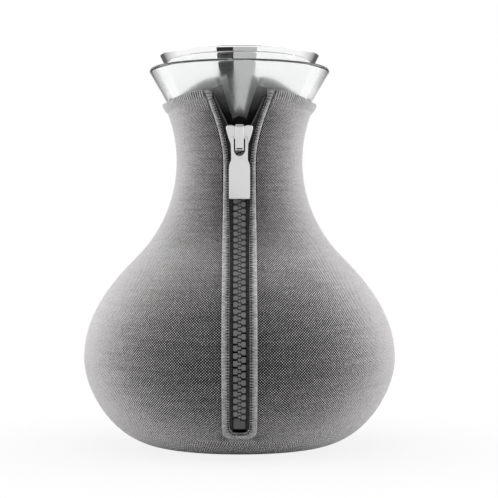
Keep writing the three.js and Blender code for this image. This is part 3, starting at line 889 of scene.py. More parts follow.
@dataclass
class Outline:
    """The jacket's outer line, from the base's edge to the shell's top, in millimetres."""

    base_r: float = 41.4
    base_rise_deg: float = 6.3
    belly_r: float = 79.6
    belly_z: float = 44.6
    waist_r: float = 32.35
    waist_z: float = 145.2
    arc_r: float = 69.1
    arc_low_deg: float = 42.1
    shell_rise: float = 25
    lean: float = math.radians(30)
    drawn_z: float = 9
    drawn_share: float = 0.65
    base_handle: float = 0.64
    belly_handles: Point = (0.657, 0.498)
    neck_handle: float = 0.222
    pitch: float = 1.38
    row_share: float = 0.97
    crowding: float = 0.45
    line: list[Vector] = field(default_factory=list)
    lengths: list[float] = field(default_factory=list)

    def __post_init__(self) -> None:
        """Samples the line closely."""
        low = math.radians(self.arc_low_deg)
        start = self.arc(self.arc_r, -low)
        rise = start.y - self.belly_z
        handle = self.base_handle * (self.belly_r - self.base_r)
        neck = self.neck_handle * rise
        tilt = math.radians(self.base_rise_deg)
        under, over = self.belly_handles
        base, belly = (self.base_r, 0.0), (self.belly_r, self.belly_z)
        bends = [
            (self.base_r + handle * math.cos(tilt), handle * math.sin(tilt)),
            (self.belly_r, under * self.belly_z),
            (self.belly_r, self.belly_z + over * rise),
            (start.x + neck * math.sin(low), start.y - neck * math.cos(low)),
        ]
        points = [base, *bezier([base, *bends[:2], belly], 80)]
        points += bezier([belly, *bends[2:], tuple(start)], 80)
        top = math.asin(self.shell_rise / self.arc_r)
        points += [tuple(self.arc(self.arc_r, -low + (top + low) * i / 100)) for i in range(1, 101)]
        self.line = [Vector(p) for p in points]
        self.lengths = [0.0]
        for a, b in zip(self.line, self.line[1:]):
            self.lengths.append(self.lengths[-1] + (b - a).length)

    def arc(self, radius: float, angle: float) -> Vector:
        """The radius and height of a point of the neck's arc, at an angle above the waist."""
        middle = Vector((self.waist_r + self.arc_r, self.waist_z))
        return middle + radius * Vector((-math.cos(angle), math.sin(angle)))

    @property
    def row_pitch(self) -> float:
        """The pitch of the weave up the jacket."""
        return self.row_share * self.pitch

    @property
    def end(self) -> float:
        """The whole length of the line."""
        return self.lengths[-1]

    def at(self, length: float, inwards: float = 0) -> tuple[Vector, Vector]:
        """A place on the line.

        Args:
            length: The length along it; past the shell's top it leans out with the hem.
            inwards: How far inside the line.

        Returns:
            The place and the line's direction there.
        """
        if length > self.end:
            run = Vector((math.sin(self.lean), math.cos(self.lean)))
            p = self.line[-1] + run * (length - self.end)
            return p + Vector((-run.y, run.x)) * inwards, run
        i = 1
        while i < len(self.lengths) - 1 and self.lengths[i] < length:
            i += 1
        a, b = self.line[i - 1], self.line[i]
        run = (b - a).normalized()
        p = a + run * (length - self.lengths[i - 1])
        return p + Vector((-run.y, run.x)) * inwards, run

    def length_at(self, z: float) -> float:
        """The length at which the line passes a height.

        Args:
            z: The height.

        Returns:
            The length; past the shell's top it goes on with the hem's lean.
        """
        for i in range(1, len(self.line)):
            if self.line[i].y >= z:
                a, b = self.line[i - 1], self.line[i]
                share = (z - a.y) / max(b.y - a.y, 1e-9)
                return self.lengths[i - 1] + share * (self.lengths[i] - self.lengths[i - 1])
        return self.end + (z - self.line[-1].y) / math.cos(self.lean)

    def on_zip(self, x: float, length: float, inwards: float) -> Vector:
        """A place on the front of the jacket, in metres.

        Args:
            x: Sideways from the middle.
            length: The length along the line.
            inwards: How far inside the line.

        Returns:
            The place; off the middle it follows the round of the jacket.
        """
        p, _ = self.at(length, inwards)
        x = max(-0.98 * p.x, min(0.98 * p.x, x))
        return Vector((x, -math.sqrt(p.x**2 - x**2), p.y)) * MM

    def weave(self, obj: Obj) -> None:
        """Lays the weave over a turned piece, both ways from the front to the back.

        Args:
            obj: The piece.
        """
        layer = obj.data.uv_layers.new(name=WEAVE)
        places = []
        for vertex in obj.data.vertices:
            x, y, z = (c / MM for c in vertex.co)
            r = max(math.hypot(x, y), 1.0)
            turn = math.atan2(x, -y)
            cells = r / (self.pitch * (r / self.belly_r) ** self.crowding)
            length = self.length_at(z)
            drawn = max(self.length_at(self.drawn_z) - length, 0)
            along = (length + self.drawn_share * drawn) / self.row_pitch
            places.append((turn, cells, along))
        for face in obj.data.polygons:
            side = math.copysign(1, face.center.x)
            for loop, v in zip(face.loop_indices, face.vertices):
                turn, cells, along = places[v]
                layer.data[loop].uv = (side * abs(turn) * cells, along)


# Sub-assemblies


@dataclass
class Opening:
    """The zip's opening seen from the front, in millimetres."""

    half_w: float = 8.3
    welt_w: float = 3.5
    foot_z: float = 11
    foot_h: float = 2.3
    v_start_z: float = 142
    v_spread: float = 9.7
    hem_top_z: float = 178.3
    seam_z: float = 174
    corner: float = 5.2
    corner_pull: float = 0.22

    def half(self, z: float, inset: float = 0) -> float:
        """Half the opening's width at a height.

        Args:
            z: The height.
            inset: How far inside the welt's outer edge.

        Returns:
            The half width.
        """
        straight = self.half_w - inset
        if z <= self.v_start_z:
            return straight
        rise = self.hem_top_z - self.v_start_z
        knee = 0.4 * rise
        rest = rise - 2 * knee
        t = min((z - self.v_start_z) / rise, 1.25)
        share = (-2 * knee + math.sqrt(4 * knee**2 + 4 * rest * t * rise)) / (2 * rest)
        return straight + (self.v_spread - inset * 0.09) * share**2

    def outline(self, inset: float, foot_inset: float, top_z: float) -> list[Point]:
        """The opening's edge, counterclockwise.

        Args:
            inset: How far inside the welt's outer edge, at the sides.
            foot_inset: The same at the foot.
            top_z: Where it ends at the top.

        Returns:
            The points.
        """
        foot = self.foot_z + foot_inset
        half = self.half(0, inset)
        corner = min(half, self.corner) * 0.9
        first, pull, count = foot + 1.25 * corner, self.corner_pull, 60
        start, end = (half - corner, foot), (half, first)
        bends = [(half - corner * pull, foot), (half, foot + (first - foot) * pull)]
        heights = [first + (top_z - first) * i / count for i in range(1, count + 1)]
        right = [start, *bezier([start, *bends, end], 10)]
        return mirrored(right + [(self.half(z, inset), z) for z in heights])


@dataclass
class Jacket:
    """The woven jacket: shell, base, hem and collar."""

    outline: Outline
    opening: Opening
    flask: "Flask"
    thickness: float = 4.3
    hem_h: float = 4
    corner_rise: float = 3.8
    corner_deg: Point = (24, 75)
    hem_lean: float = 0.58
    fit: float = 0.3
    dip_reach: float = 6
    dip_depth: float = 0.9
    dip_top: float = 172
    neck_z: float = 120
    cut_top: float = 190
    hem_gather: float = 0.1
    hem_ribs: float = 30
    collar_ribs: float = 37.5

    def build_shell(self, weave: Material, lining: Material) -> None:
        """Turns the shell and cuts the zip's opening.

        Args:
            weave: The jacket's finish.
            lining: The finish of its inside.
        """
        count = 110
        end = self.outline.end
        outer = [tuple(self.outline.at(end * i / count)[0]) for i in range(count + 1)]
        inner = [self.outline.at(end * i / 60, self.thickness)[0] for i in range(60, -1, -1)]
        inner[0].y = outer[-1][1]
        for p in inner:
            if p.y > self.neck_z:
                p.x = max(p.x, self.flask.radius_at(p.y) + self.fit)
        shell = lathe("jacket_shell_cloth", outer + [tuple(p) for p in inner], 240)
        prism = self.opening.outline(-self.fit, -self.fit, self.cut_top)
        cutter = plate("opening_cutter", prism, 2, 110)
        cutter.data.transform(Matrix.Rotation(math.pi / 2, 4, "X"))
        cut(shell, cutter)
        self.dip(shell)
        smooth(shell, 40)
        self.outline.weave(shell)
        dress(shell, weave, "jacket_fabric", Body.VESSEL, "jacket_shell")
        line_inside(shell, lining)

    def dip(self, shell: Obj) -> None:
        """Draws the cloth in along the zip, where the welt is sewn on.

        Args:
            shell: The shell.
        """
        for vertex in shell.data.vertices:
            x, y, z = (c / MM for c in vertex.co)
            r = math.hypot(x, y)
            outside = r >= self.outline.at(self.outline.length_at(z))[0].x - 1
            if y > 0 or not self.opening.foot_z < z <= self.dip_top or not outside:
                continue
            away = max(abs(x) - self.opening.half(z), 0)
            if away < self.dip_reach:
                depth = self.dip_depth * (1 - away / self.dip_reach) ** 2
                vertex.co.x -= depth * MM * x / r
                vertex.co.y -= depth * MM * y / r

    def build_base(self, weave: Material) -> None:
        """The sewn round bottom, a little cushioned.

        Args:
            weave: The jacket's finish.
        """
        r = self.outline.base_r
        top = self.thickness
        points = [(0.0, 0.25), (r - 6, 0.05), (r - 2.2, 0.0), (r - 0.9, 0.15), (r - 0.4, 0.6)]
        points += [(r - 0.9, top - 0.6), (r - 2.2, top - 0.05), (0.0, top)]
        base = lathe("jacket_base_cloth", points, 160, closed=False)
        lay(base, lambda co: (co.x / self.outline.pitch, co.y / self.outline.row_pitch))
        dress(base, weave, "jacket_fabric", Body.VESSEL, "jacket_base")

    def hem_edge(self, turn: float) -> float:
        """How far the hem's top edge rises at an angle from the front."""
        low, high = (math.radians(angle) for angle in self.corner_deg)
        return self.corner_rise * (1 - ease(abs(turn), low, high))

    def ring(self, name: str, section: list[Point], tall: float, gather: float, ribs: float) -> Obj:
        """A band round the top that follows the rise to the front corners.

        Args:
            name: The piece's name.
            section: Out from the jacket's line, and up by a share of its height, of each point.
            tall: Its height; nothing makes it fill what lies below the hem.
            gather: How much its edge waves.
            ribs: How many ribs of its weave a radian holds.

        Returns:
            The band, with its run laid in the weave map.
        """
        top, _ = self.outline.at(self.outline.end)
        foot_z, count = top.y + 0.1, 260
        start = math.asin((self.opening.half(self.opening.seam_z) + 0.4) / (top.x + 2))
        rows = []
        for i in range(count + 1):
            turn = start + (math.tau - 2 * start) * i / count
            rise = self.hem_edge(turn if turn < math.pi else math.tau - turn)
            low, height = (foot_z + rise, tall) if tall else (foot_z - 1.4, rise + 1.8)
            wave = gather * (math.sin(turn * 95) + 0.6 * math.sin(turn * 151 + 1))
            row = []
            for out, up in section:
                z = low + up * height
                r = top.x - 0.35 + out * 0.95
                r += self.hem_lean * max(z - foot_z, -0.8) + wave * (0.4 + 0.6 * up)
                row.append(Vector((math.sin(turn) * r, -math.cos(turn) * r, z)) * MM)
            rows.append(row)
        band = sweep(name, rows)
        lay(band, lambda co: ((math.atan2(co.x, -co.y) % math.tau) * ribs, co.z / 1.3))
        return band

    def build_hem(self, weave: Material, binding: Material, lining: Material) -> None:
        """The folded band round the top and the strip of weave under its raised corners.

        Args:
            weave: The jacket's finish.
            binding: The hem's finish.
            lining: The finish of the inside.
        """
        fold = [(0.3, -0.05), (0.95, -0.06), (1.22, 0.12), (1.27, 0.4), (1.1, 0.72)]
        fold += [(0.75, 0.93), (0.15, 1.0), (-0.4, 0.92), (-0.65, 0.6), (-0.7, 0.2), (-0.6, -0.05)]
        hem = self.ring("jacket_hem_cloth", fold, self.hem_h, self.hem_gather, self.hem_ribs)
        dress(hem, binding, "jacket_fabric", Body.VESSEL, "jacket_hem")
        line_inside(hem, lining)
        strip = [(0.3, 0.0), (0.55, 0.1), (0.75, 0.5), (0.75, 1.0), (-0.5, 1.0), (-0.5, 0.0)]
        collar = self.ring("jacket_collar_cloth", strip, 0, 0, self.collar_ribs)
        dress(collar, weave, "jacket_fabric", Body.VESSEL)
        line_inside(collar, lining)

    def build(self, weave: Material, binding: Material, lining: Material) -> None:
        """Builds all of the jacket.

        Args:
            weave: The finish of shell and base.
            binding: The finish of the hem.
            lining: The finish of the inside.
        """
        self.build_shell(weave, lining)
        self.build_base(weave)
        self.build_hem(weave, binding, lining)


@dataclass
class Flask:
    """The glass flask with its flared mouth."""

    outline: Outline
    inset: float = 4.6
    wall: float = 2.5
    base_t: float = 3.5
    mouth_r: float = 46.3
    mouth_rise: float = 46
    flare_deg: float = 30.1
    bead_r: float = 1.5
    flare_start_deg: float = 11
    outer: list[Point] = field(default_factory=list)
    rim: list[Point] = field(default_factory=list)

    def __post_init__(self) -> None:
        """Samples the outer line from the base to the lip."""
        o = self.outline
        flare = math.radians(self.flare_deg)
        start_angle = math.radians(self.flare_start_deg)
        bead = Vector((self.mouth_r - self.bead_r, o.waist_z + self.mouth_rise))
        tip = bead + self.bead_r * Vector((math.cos(flare), -math.sin(flare)))
        knee_from = o.arc(o.arc_r + self.inset, start_angle)
        cone_r = tip.x - (tip.y - knee_from.y) * math.tan(flare)
        start_run = Vector((math.sin(start_angle), math.cos(start_angle)))
        reach = (cone_r - knee_from.x) / (start_run.x - math.tan(flare) * start_run.y)
        knee = knee_from + reach * start_run
        knee_to = knee + reach * Vector((math.sin(flare), math.cos(flare)))
        last = o.length_at(o.waist_z) + o.arc_r * start_angle
        self.outer = [tuple(o.at(last * i / 70, self.inset)[0]) for i in range(71)]
        self.outer += bezier([tuple(knee_from), tuple(knee), tuple(knee_to)], 8)
        self.rim = rolled_rim(bead, self.bead_r, flare)

    def radius_at(self, z: float) -> float:
        """The glass's outer radius at a height.

        Args:
            z: The height.

        Returns:
            The radius.
        """
        line = [*self.outer, self.rim[0]]
        for a, b in zip(line, line[1:]):
            if a[1] <= z <= b[1]:
                return a[0] + (b[0] - a[0]) * (z - a[1]) / max(b[1] - a[1], 1e-9)
        return line[-1][0] if z > line[-1][1] else line[0][0]

    def build(self, glass: Material) -> None:
        """Turns the flask.

        Args:
            glass: Its finish.
        """
        inner = self.moved([*self.outer, self.rim[0]])[:-1]
        floor = self.inset + self.base_t
        inner[0] = (inner[0][0], floor)
        points = [(0.0, self.inset), *self.outer, *self.rim, *reversed(inner), (0.0, floor)]
        flask = lathe("glass_flask_blown", points, 160, closed=False)
        dress(flask, glass, "glass", Body.VESSEL, "glass_flask")

    def moved(self, line: list[Point]) -> list[Point]:
        """The line moved inwards by the wall.

        Args:
            line: The outer line.

        Returns:
            The inner line.
        """
        made = []
        for i, p in enumerate(line):
            a, b = Vector(line[max(i - 1, 0)]), Vector(line[min(i + 1, len(line) - 1)])
            run = (b - a).normalized()
            made.append((p[0] - run.y * self.wall, p[1] + run.x * self.wall))
        return made


@dataclass
class Funnel:
    """The polished steel funnel: rolled rim, cone and spigot."""

    rim_z: float = 200
    rim_r: float = 41.1
    flare: float = math.radians(27)
    wall: float = 1.3
    bead_r: float = 0.9
    spigot_r: float = 21.5
    spigot_l: float = 20.5
    bend: float = 2.5

    @property
    def bead(self) -> Vector:
        """The middle of the rolled rim."""
        return Vector((self.rim_r - self.bead_r, self.rim_z - self.bead_r))

    @property
    def throat_z(self) -> float:
        """The height at which the cone meets the spigot."""
        tip = self.bead + self.bead_r * Vector((math.cos(self.flare), -math.sin(self.flare)))
        return tip.y - (tip.x - self.spigot_r) / math.tan(self.flare)

    def cone(self, z: float) -> float:
        """The cone's inner radius at a height."""
        outer = self.spigot_r + (z - self.throat_z) * math.tan(self.flare)
        return outer - self.wall / math.cos(self.flare)

    def throat(self, r: float, z: float) -> list[Point]:
        """The bend from the spigot to the cone.

        Args:
            r: The radius at which their lines meet.
            z: The height at which they meet.

        Returns:
            The points, from below.
        """
        start = (r, z - self.bend)
        end = (r + self.bend * math.sin(self.flare), z + self.bend * math.cos(self.flare))
        return [start, *bezier([start, (r, z), end], 6)]

    def build(self, steel: Material) -> None:
        """Turns the funnel.

        Args:
            steel: Its finish.
        """
        foot = self.throat_z - self.spigot_l
        inner_r = self.spigot_r - self.wall
        thick = self.wall / math.cos(self.flare)
        inner_z = self.throat_z + (thick - self.wall) / math.tan(self.flare)
        top_z = self.bead.y - self.bead_r
        lip = self.spigot_r + 0.9
        points = [
            (inner_r, foot + 0.2),
            (inner_r + 0.2, foot),
            (lip - 0.3, foot),
            (lip, foot + 0.3),
            (lip, foot + 0.8),
            (self.spigot_r, foot + 1.4),
            *self.throat(self.spigot_r, self.throat_z),
            *rolled_rim(self.bead, self.bead_r, self.flare),
            (self.cone(top_z), top_z),
            *reversed(self.throat(inner_r, inner_z)),
        ]
        funnel = lathe("pour_funnel_steel", points, 192)
        dress(funnel, steel, "polished_steel", Body.FUNNEL, "pour_funnel")


@dataclass
class Zip:
    """The zip: welt with its stitches, tapes, guard, teeth and stops."""

    outline: Outline
    opening: Opening
    flask: Flask
    pitch: float = 3.6
    tooth_t: float = 2.4
    reach: float = 2.85
    chain_foot_z: float = 20
    slider_z: float = 155.1
    slider_l: float = 12.5
    spread: float = 2.2
    stop_h: float = 4.4
    stitch_pitch: float = 1.3
    stitch_inset: float = 2.9
    narrow: float = 0.22
    narrow_z: float = 95
    tape_foot: float = 13.6
    tape_in: float = 1.05
    tape_t: float = 0.5
    tape_short: float = 3.5
    edge_z: float = 158
    edge_r: float = 0.28
    guard_t: float = 0.35
    travel_z: tuple[float, ...] = (104, 110, 118, 128, 140, 160)
    travel_keep: tuple[float, ...] = (0.72, 0.58, 0.46, 0.38, 0.33)
    part_x: float = 7

    @property
    def slider_s(self) -> float:
        """The length at which the slider stands."""
        return self.outline.length_at(self.slider_z)

    def frame_at(self, length: float, x: float = 0) -> Matrix:
        """The zip's own frame: x sideways, y up the zip, z outwards.

        Args:
            length: The length along the jacket's line.
            x: Sideways from the middle, in millimetres.

        Returns:
            The frame, in metres.
        """
        p, run = self.outline.at(length)
        made = Matrix(((1, 0, 0), (0, -run.x, -run.y), (0, run.y, -run.x))).to_4x4()
        made.translation = Vector((x, -p.x, p.y)) * MM
        return made

    def part(self, obj: Obj, side: Side, index: int) -> None:
        """Gives a length of teeth or tape a mesh of its own."""
        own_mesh(obj)

    def spread_at(self, length: float) -> float:
        """How far each row of teeth stands apart from the middle."""
        start = self.slider_s - 0.2 * self.slider_l
        return self.spread * ease(length, start, start + 0.52 * self.slider_l)

    def narrowing(self, z: float) -> float:
        """The share of its width that the welt loses at a height."""
        return self.narrow * ease(z, self.narrow_z, self.opening.v_start_z)

    @property
    def tape_top(self) -> float:
        """The height at which the tapes end."""
        return self.opening.hem_top_z - self.tape_short

    def welt_row(self, section: list[Point], index: int, lines: list[list[Point]]) -> list[Vector]:
        """One row of the welt's section.

        Args:
            section: Inset from the outer edge, and height over the jacket, of each point.
            index: The place along the opening's edge.
            lines: The opening's edge at each of these insets.

        Returns:
            The row's points.
        """
        row = []
        edge = lines[0][index][0]
        for (_, out), line in zip(section, lines):
            x, z = line[index]
            x += (edge - x) * self.narrowing(z)
            row.append(self.outline.on_zip(x, self.outline.length_at(z), -out))
        return row

    def welt_lines(self, section: list[Point], top_z: float) -> list[list[Point]]:
        """The opening's edge at each inset of a section.

        Args:
            section: Inset and height of each point of the section.
            top_z: Where the edge ends at the top.

        Returns:
            A line for each inset, from the top left down round the foot to the top right.
        """
        share = self.opening.foot_h / self.opening.welt_w
        lines = [self.opening.outline(inset, inset * share, top_z) for inset, _ in section]
        half = len(lines[0]) // 2
        return [line[half:] + line[:half] for line in lines]

    def strip(self, name: str, section: list[Point], top_z: float) -> Obj:
        """A strip with one section all round the opening.

        Args:
            name: The piece's name.
            section: Inset and height of each point of the section.
            top_z: Where it ends at the top.

        Returns:
            The strip, with its run laid in the weave map.
        """
        lines = self.welt_lines(section, top_z)
        strip = sweep(name, [self.welt_row(section, i, lines) for i in range(len(lines[0]))])
        lay(strip, lambda co: (co.z / 1.1, co.x / 1.1))
        return strip

    def build_welt(self, binding: Material, piping: Material, thread_and_painted_shade: Material) -> None:
        """The folded binding, its rolled edge and its row of stitches.

        Args:
            binding: The finish of the flat of the binding.
            piping: The finish of its rolled edge.
            thread_and_painted_shade: The finish of the stitches.
        """
        top = self.opening.hem_top_z
        flat = [(0.5, -0.5), (0.55, 0.35), (1.1, 0.52), (2.0, 0.6), (2.9, 0.5)]
        flat += [(3.35, 0.2), (3.5, -0.2), (3.4, -0.55), (2.0, -0.6)]
        cloth = self.strip("zip_welt_cloth", flat, top - 0.4)
        dress(cloth, binding, "welt_fabric", Body.VESSEL, "zip_welt")
        turns = [math.tau * i / 12 for i in range(12)]
        roll = [(0.9 + 0.95 * math.cos(a), 0.15 + 0.75 * math.sin(a)) for a in turns]
        edge = self.strip("zip_welt_edge", roll, top - 5.5)
        dress(edge, piping, "welt_fabric", Body.VESSEL)
        self.build_stitches(thread_and_painted_shade)

    def build_stitches(self, thread_and_painted_shade: Material) -> None:
        """One stitch, copied along the inner side of the welt.

        Args:
            thread_and_painted_shade: The stitches' finish.
        """
        begin()
        bpy.ops.mesh.primitive_uv_sphere_add(segments=8, ring_count=5, radius=0.5 * MM)
        one = named("stitch")
        one.data.transform(Matrix.Diagonal((0.95, 0.85, 0.55, 1)))
        inset = self.stitch_inset
        line = self.welt_lines([(inset, 0)], self.opening.seam_z)[0]
        places, carried = [], 0.0
        for (ax, az), (bx, bz) in zip(line, line[1:]):
            sa, sb = self.outline.length_at(az), self.outline.length_at(bz)
            step = math.hypot(bx - ax, sb - sa)
            lean = Matrix.Rotation(math.atan2(-(bx - ax), sb - sa), 4, "Z")
            while carried < step:
                t = carried / step
                x, length = ax + (bx - ax) * t, sa + (sb - sa) * t
                x += math.copysign(inset - 0.5, x) * self.narrowing(az + (bz - az) * t)
                place = self.frame_at(length)
                place.translation = self.outline.on_zip(x, length, -0.55)
                places.append(place @ lean)
                carried += self.stitch_pitch
            carried -= step
        row = join("zip_welt_stitches", copies(one, places))
        smooth(row, 60)
        dress(row, thread_and_painted_shade, "zip_tape", Body.VESSEL)

    def tape_edges(self, z: float) -> Point:
        """Inner and outer edge of a tape at a height.

        Args:
            z: The height.

        Returns:
            The two distances from the middle.
        """
        o = self.opening
        inner = self.reach + 0.3
        low = self.outline.at(self.slider_s - 0.2 * self.slider_l)[0].y - 2
        wide = self.outline.at(self.slider_s + 0.4 * self.slider_l)[0].y
        top_x = o.half_w + o.v_spread - o.welt_w - 2
        top_z = self.tape_top
        if z > wide:
            inner += self.spread + (top_x - inner - self.spread) * (z - wide) / (top_z - wide)
        elif z > low:
            inner += self.spread * (z - low) / (wide - low)
        return inner, max(o.half(z, 0.6) - 0.9 * ease(z, 150, top_z), inner + 0.5)

    def build_tape(self, side: Side, woven: Material, selvage: Material) -> None:
        """A woven tape with its thickened edge.

        Args:
            side: Which side of the zip.
            woven: The tape's finish.
            selvage: The finish of the edge that shows in the V.
        """
        stands = [self.tape_foot, *self.travel_z, self.tape_top]
        lengths = [self.tape_length(side, low, high) for low, high in zip(stands, stands[1:])]
        word = side.name.lower()
        tape = join(f"zip_tape_{word}_woven", [lengths[0], lengths[-1]])
        dress(tape, woven, "zip_tape", Body.VESSEL, f"zip_tape_{word}")
        for index, free in enumerate(lengths[1:-1]):
            free.name = f"zip_tape_{word}_free_{index + 1}"
            dress(free, woven, "zip_tape", Body.VESSEL)
            self.part(free, side, index)
        turns = [math.tau * k / 8 for k in range(8)]
        ring = [(self.edge_r * math.cos(a), self.edge_r * math.sin(a)) for a in turns]
        edge, count = [], 30
        for i in range(count + 1):
            z = self.edge_z + (self.tape_top - self.edge_z) * i / count
            inner, _ = self.tape_edges(z)
            length = self.outline.length_at(z)
            places = [(side.value * (inner + x), 0.8 + out) for x, out in ring]
            edge.append([self.outline.on_zip(x, length, inwards) for x, inwards in places])
        cord = sweep(f"zip_tape_{word}_edge", edge)
        dress(cord, selvage, "zip_tape", Body.VESSEL)

    def tape_length(self, side: Side, low: float, high: float) -> Obj:
        """A length of tape between two heights.

        Args:
            side: Which side of the zip.
            low: Where it starts.
            high: Where it ends.

        Returns:
            The length, with its weave laid on.
        """
        rows = []
        count = max(round((high - low) / 1.1), 4)
        for i in range(count + 1):
            z = low + (high - low) * i / count
            inner, outer = self.tape_edges(z)
            across = [side.value * (inner + (outer - inner) * j / 6) for j in range(7)]
            length = self.outline.length_at(z)
            rows.append([self.outline.on_zip(x, length, self.tape_in) for x in across])
        tape = sweep("tape_length", rows, round_section=False)
        lay(tape, lambda co: (self.outline.length_at(co.z) / 0.8, co.x / 0.8))
        apply(tape, "SOLIDIFY", thickness=self.tape_t * MM, offset=0)
        return tape

    def build_guard(self, woven: Material, lining: Material) -> None:
        """The facing behind the zip, with its two wings in the V; its finish paints shade deep in
        the V.

        Args:
            woven: Its finish.
            lining: The finish of its back.
        """
        o = self.opening
        half = o.half_w - 0.6
        notch = self.slider_z + 0.73 * self.slider_l
        wing_z = o.hem_top_z + 2
        wing_out = o.half_w + o.v_spread - o.welt_w - 1
        tops = [(0.0, notch + 1.5), (1.7, notch + 0.9), (3.4, notch)]
        tops += [(0.65 * wing_out, wing_z), (wing_out, wing_z - 1.6)]
        columns = []
        for k in range(len(tops) - 1):
            steps = 6 if k > 1 else 3
            columns += [Vector(tops[k]).lerp(Vector(tops[k + 1]), j / steps) for j in range(steps)]
        columns.append(Vector(tops[-1]))
        columns = [Vector((-c.x, c.y)) for c in reversed(columns[1:])] + columns
        foot = o.foot_z + o.foot_h + 0.6
        rows, count = [], 90
        for i in range(count + 1):
            w = i / count
            row = []
            for c in columns:
                share = ease(w, 0.62, 1.0)
                x = half * c.x / wing_out * (1 - share) + c.x * share
                z = foot + (c.y - foot) * w
                r = self.flask.radius_at(z) + 0.5
                x = max(-0.95 * r, min(0.95 * r, x))
                row.append(Vector((x, -math.sqrt(r * r - x * x), z)) * MM)
            rows.append(row)
        guard = sweep("zip_guard_woven", rows, round_section=False)
        lay(guard, lambda co: (co.z / 0.9, co.x / 0.9))
        apply(guard, "SOLIDIFY", thickness=self.guard_t * MM, offset=0)
        dress(guard, woven, "zip_tape", Body.VESSEL, "zip_guard")
        line_inside(guard, lining)

    def tooth_outline(self) -> list[Point]:
        """The outline of a right-hand tooth: block, neck and round head.

        Returns:
            The points, counterclockwise.
        """
        back = self.reach + 0.1
        low = [(0.8, -0.42), (0.98, -1.15), (1.25, -1.4), (1.7, -1.3), (back, -1.26)]
        turns = [math.radians(40 + 280 * k / 8) for k in range(9)]
        head = [(-0.1 + 0.72 * math.cos(a), 0.72 * math.sin(a)) for a in turns]
        return low + [(x, -y) for x, y in reversed(low)] + head

    def build_teeth(self, side: Side, plastic: Material) -> None:
        """One tooth, copied up the row.

        Args:
            side: Which row.
            plastic: The teeth's finish.
        """
        one = plate("tooth", self.tooth_outline(), -self.tooth_t, 0.05)
        if side is Side.LEFT:
            one.data.transform(Matrix.Diagonal((-1, 1, 1, 1)))
            one.data.flip_normals()
        bevel(one, width=0.16, segments=1)
        foot = self.outline.length_at(self.chain_foot_z)
        top = self.slider_s + 0.3 * self.slider_l
        count = math.floor((top - foot) / self.pitch)
        shift = 0 if side is Side.RIGHT else self.pitch / 2
        lengths = [foot + self.pitch / 2 + shift + n * self.pitch for n in range(count)]
        teeth = copies(one, [self.frame_at(s, side.value * self.spread_at(s)) for s in lengths])
        groups: list[list[Obj]] = [[] for _ in self.travel_z]
        for tooth, length in zip(teeth, lengths):
            z = self.outline.at(length)[0].y
            groups[sum(z > stand for stand in self.travel_z)].append(tooth)
        node = f"zip_teeth_{side.name.lower()}"
        for index, group in enumerate(groups):
            row = join(f"{node}_free_{index}" if index else f"{node}_moulded", group)
            smooth(row, 30)
            dress(row, plastic, "zip_plastic", Body.VESSEL, *(() if index else (node,)))
            if index:
                self.part(row, side, index - 1)

    def build_stop(self, plastic: Material) -> None:
        """The moulded box at the foot of the chain.

        Args:
            plastic: Its finish.
        """
        half, r = self.reach, 0.7
        high = self.stop_h / 2
        corners = []
        ends = {1: high + 0.2, -1: high + 0.45}
        for cx, cy, start in ((1, -1, -90), (1, 1, 0), (-1, 1, 90), (-1, -1, 180)):
            step = self.pitch / 2 - 0.5 if (cx, cy) == (-1, 1) else 0
            x, y = cx * (half - r), cy * (ends[cy] - r) + step
            turns = [math.radians(start + 22.5 * k) for k in range(5)]
            corners += [(x + r * math.cos(a), y + r * math.sin(a)) for a in turns]
            if (cx, cy) == (1, 1):
                corners += [(0.3, ends[1]), (0.3, ends[1] + self.pitch / 2 - 0.5)]
        stop = plate("zip_bottom_stop_moulded", corners, -self.tooth_t, 0.35)
        bevel(stop, width=0.3, segments=3)
        length = self.outline.length_at(self.chain_foot_z) - 0.3 - high
        stop.data.transform(self.frame_at(length))
        smooth(stop, 40)
        dress(stop, plastic, "zip_plastic", Body.VESSEL, "zip_bottom_stop")

    def build_top_stop(self, side: Side, metal: Material) -> None:
        """The small clip that ends a row of teeth.

        Args:
            side: Which row.
            metal: Its finish.
        """
        node = f"zip_top_stop_{side.name.lower()}"
        low, high = (Vector(corner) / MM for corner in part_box(node))
        middle, half = (low + high) / 2, (high.x - low.x) / 2
        outline = mirrored([(half - 0.4, -1), (half, -0.6), (half, 0.6), (half - 0.4, 1)])
        stop = plate(f"{node}_clip", outline, 0.5 - self.tooth_t, 0.1)
        bevel(stop, width=0.2, segments=2)
        stop.data.transform(self.frame_at(self.outline.length_at(middle.z), middle.x))
        smooth(stop, 40)
        dress(stop, metal, "satin_metal", Body.VESSEL, node)
        self.part(stop, side, len(self.travel_keep) - 1)


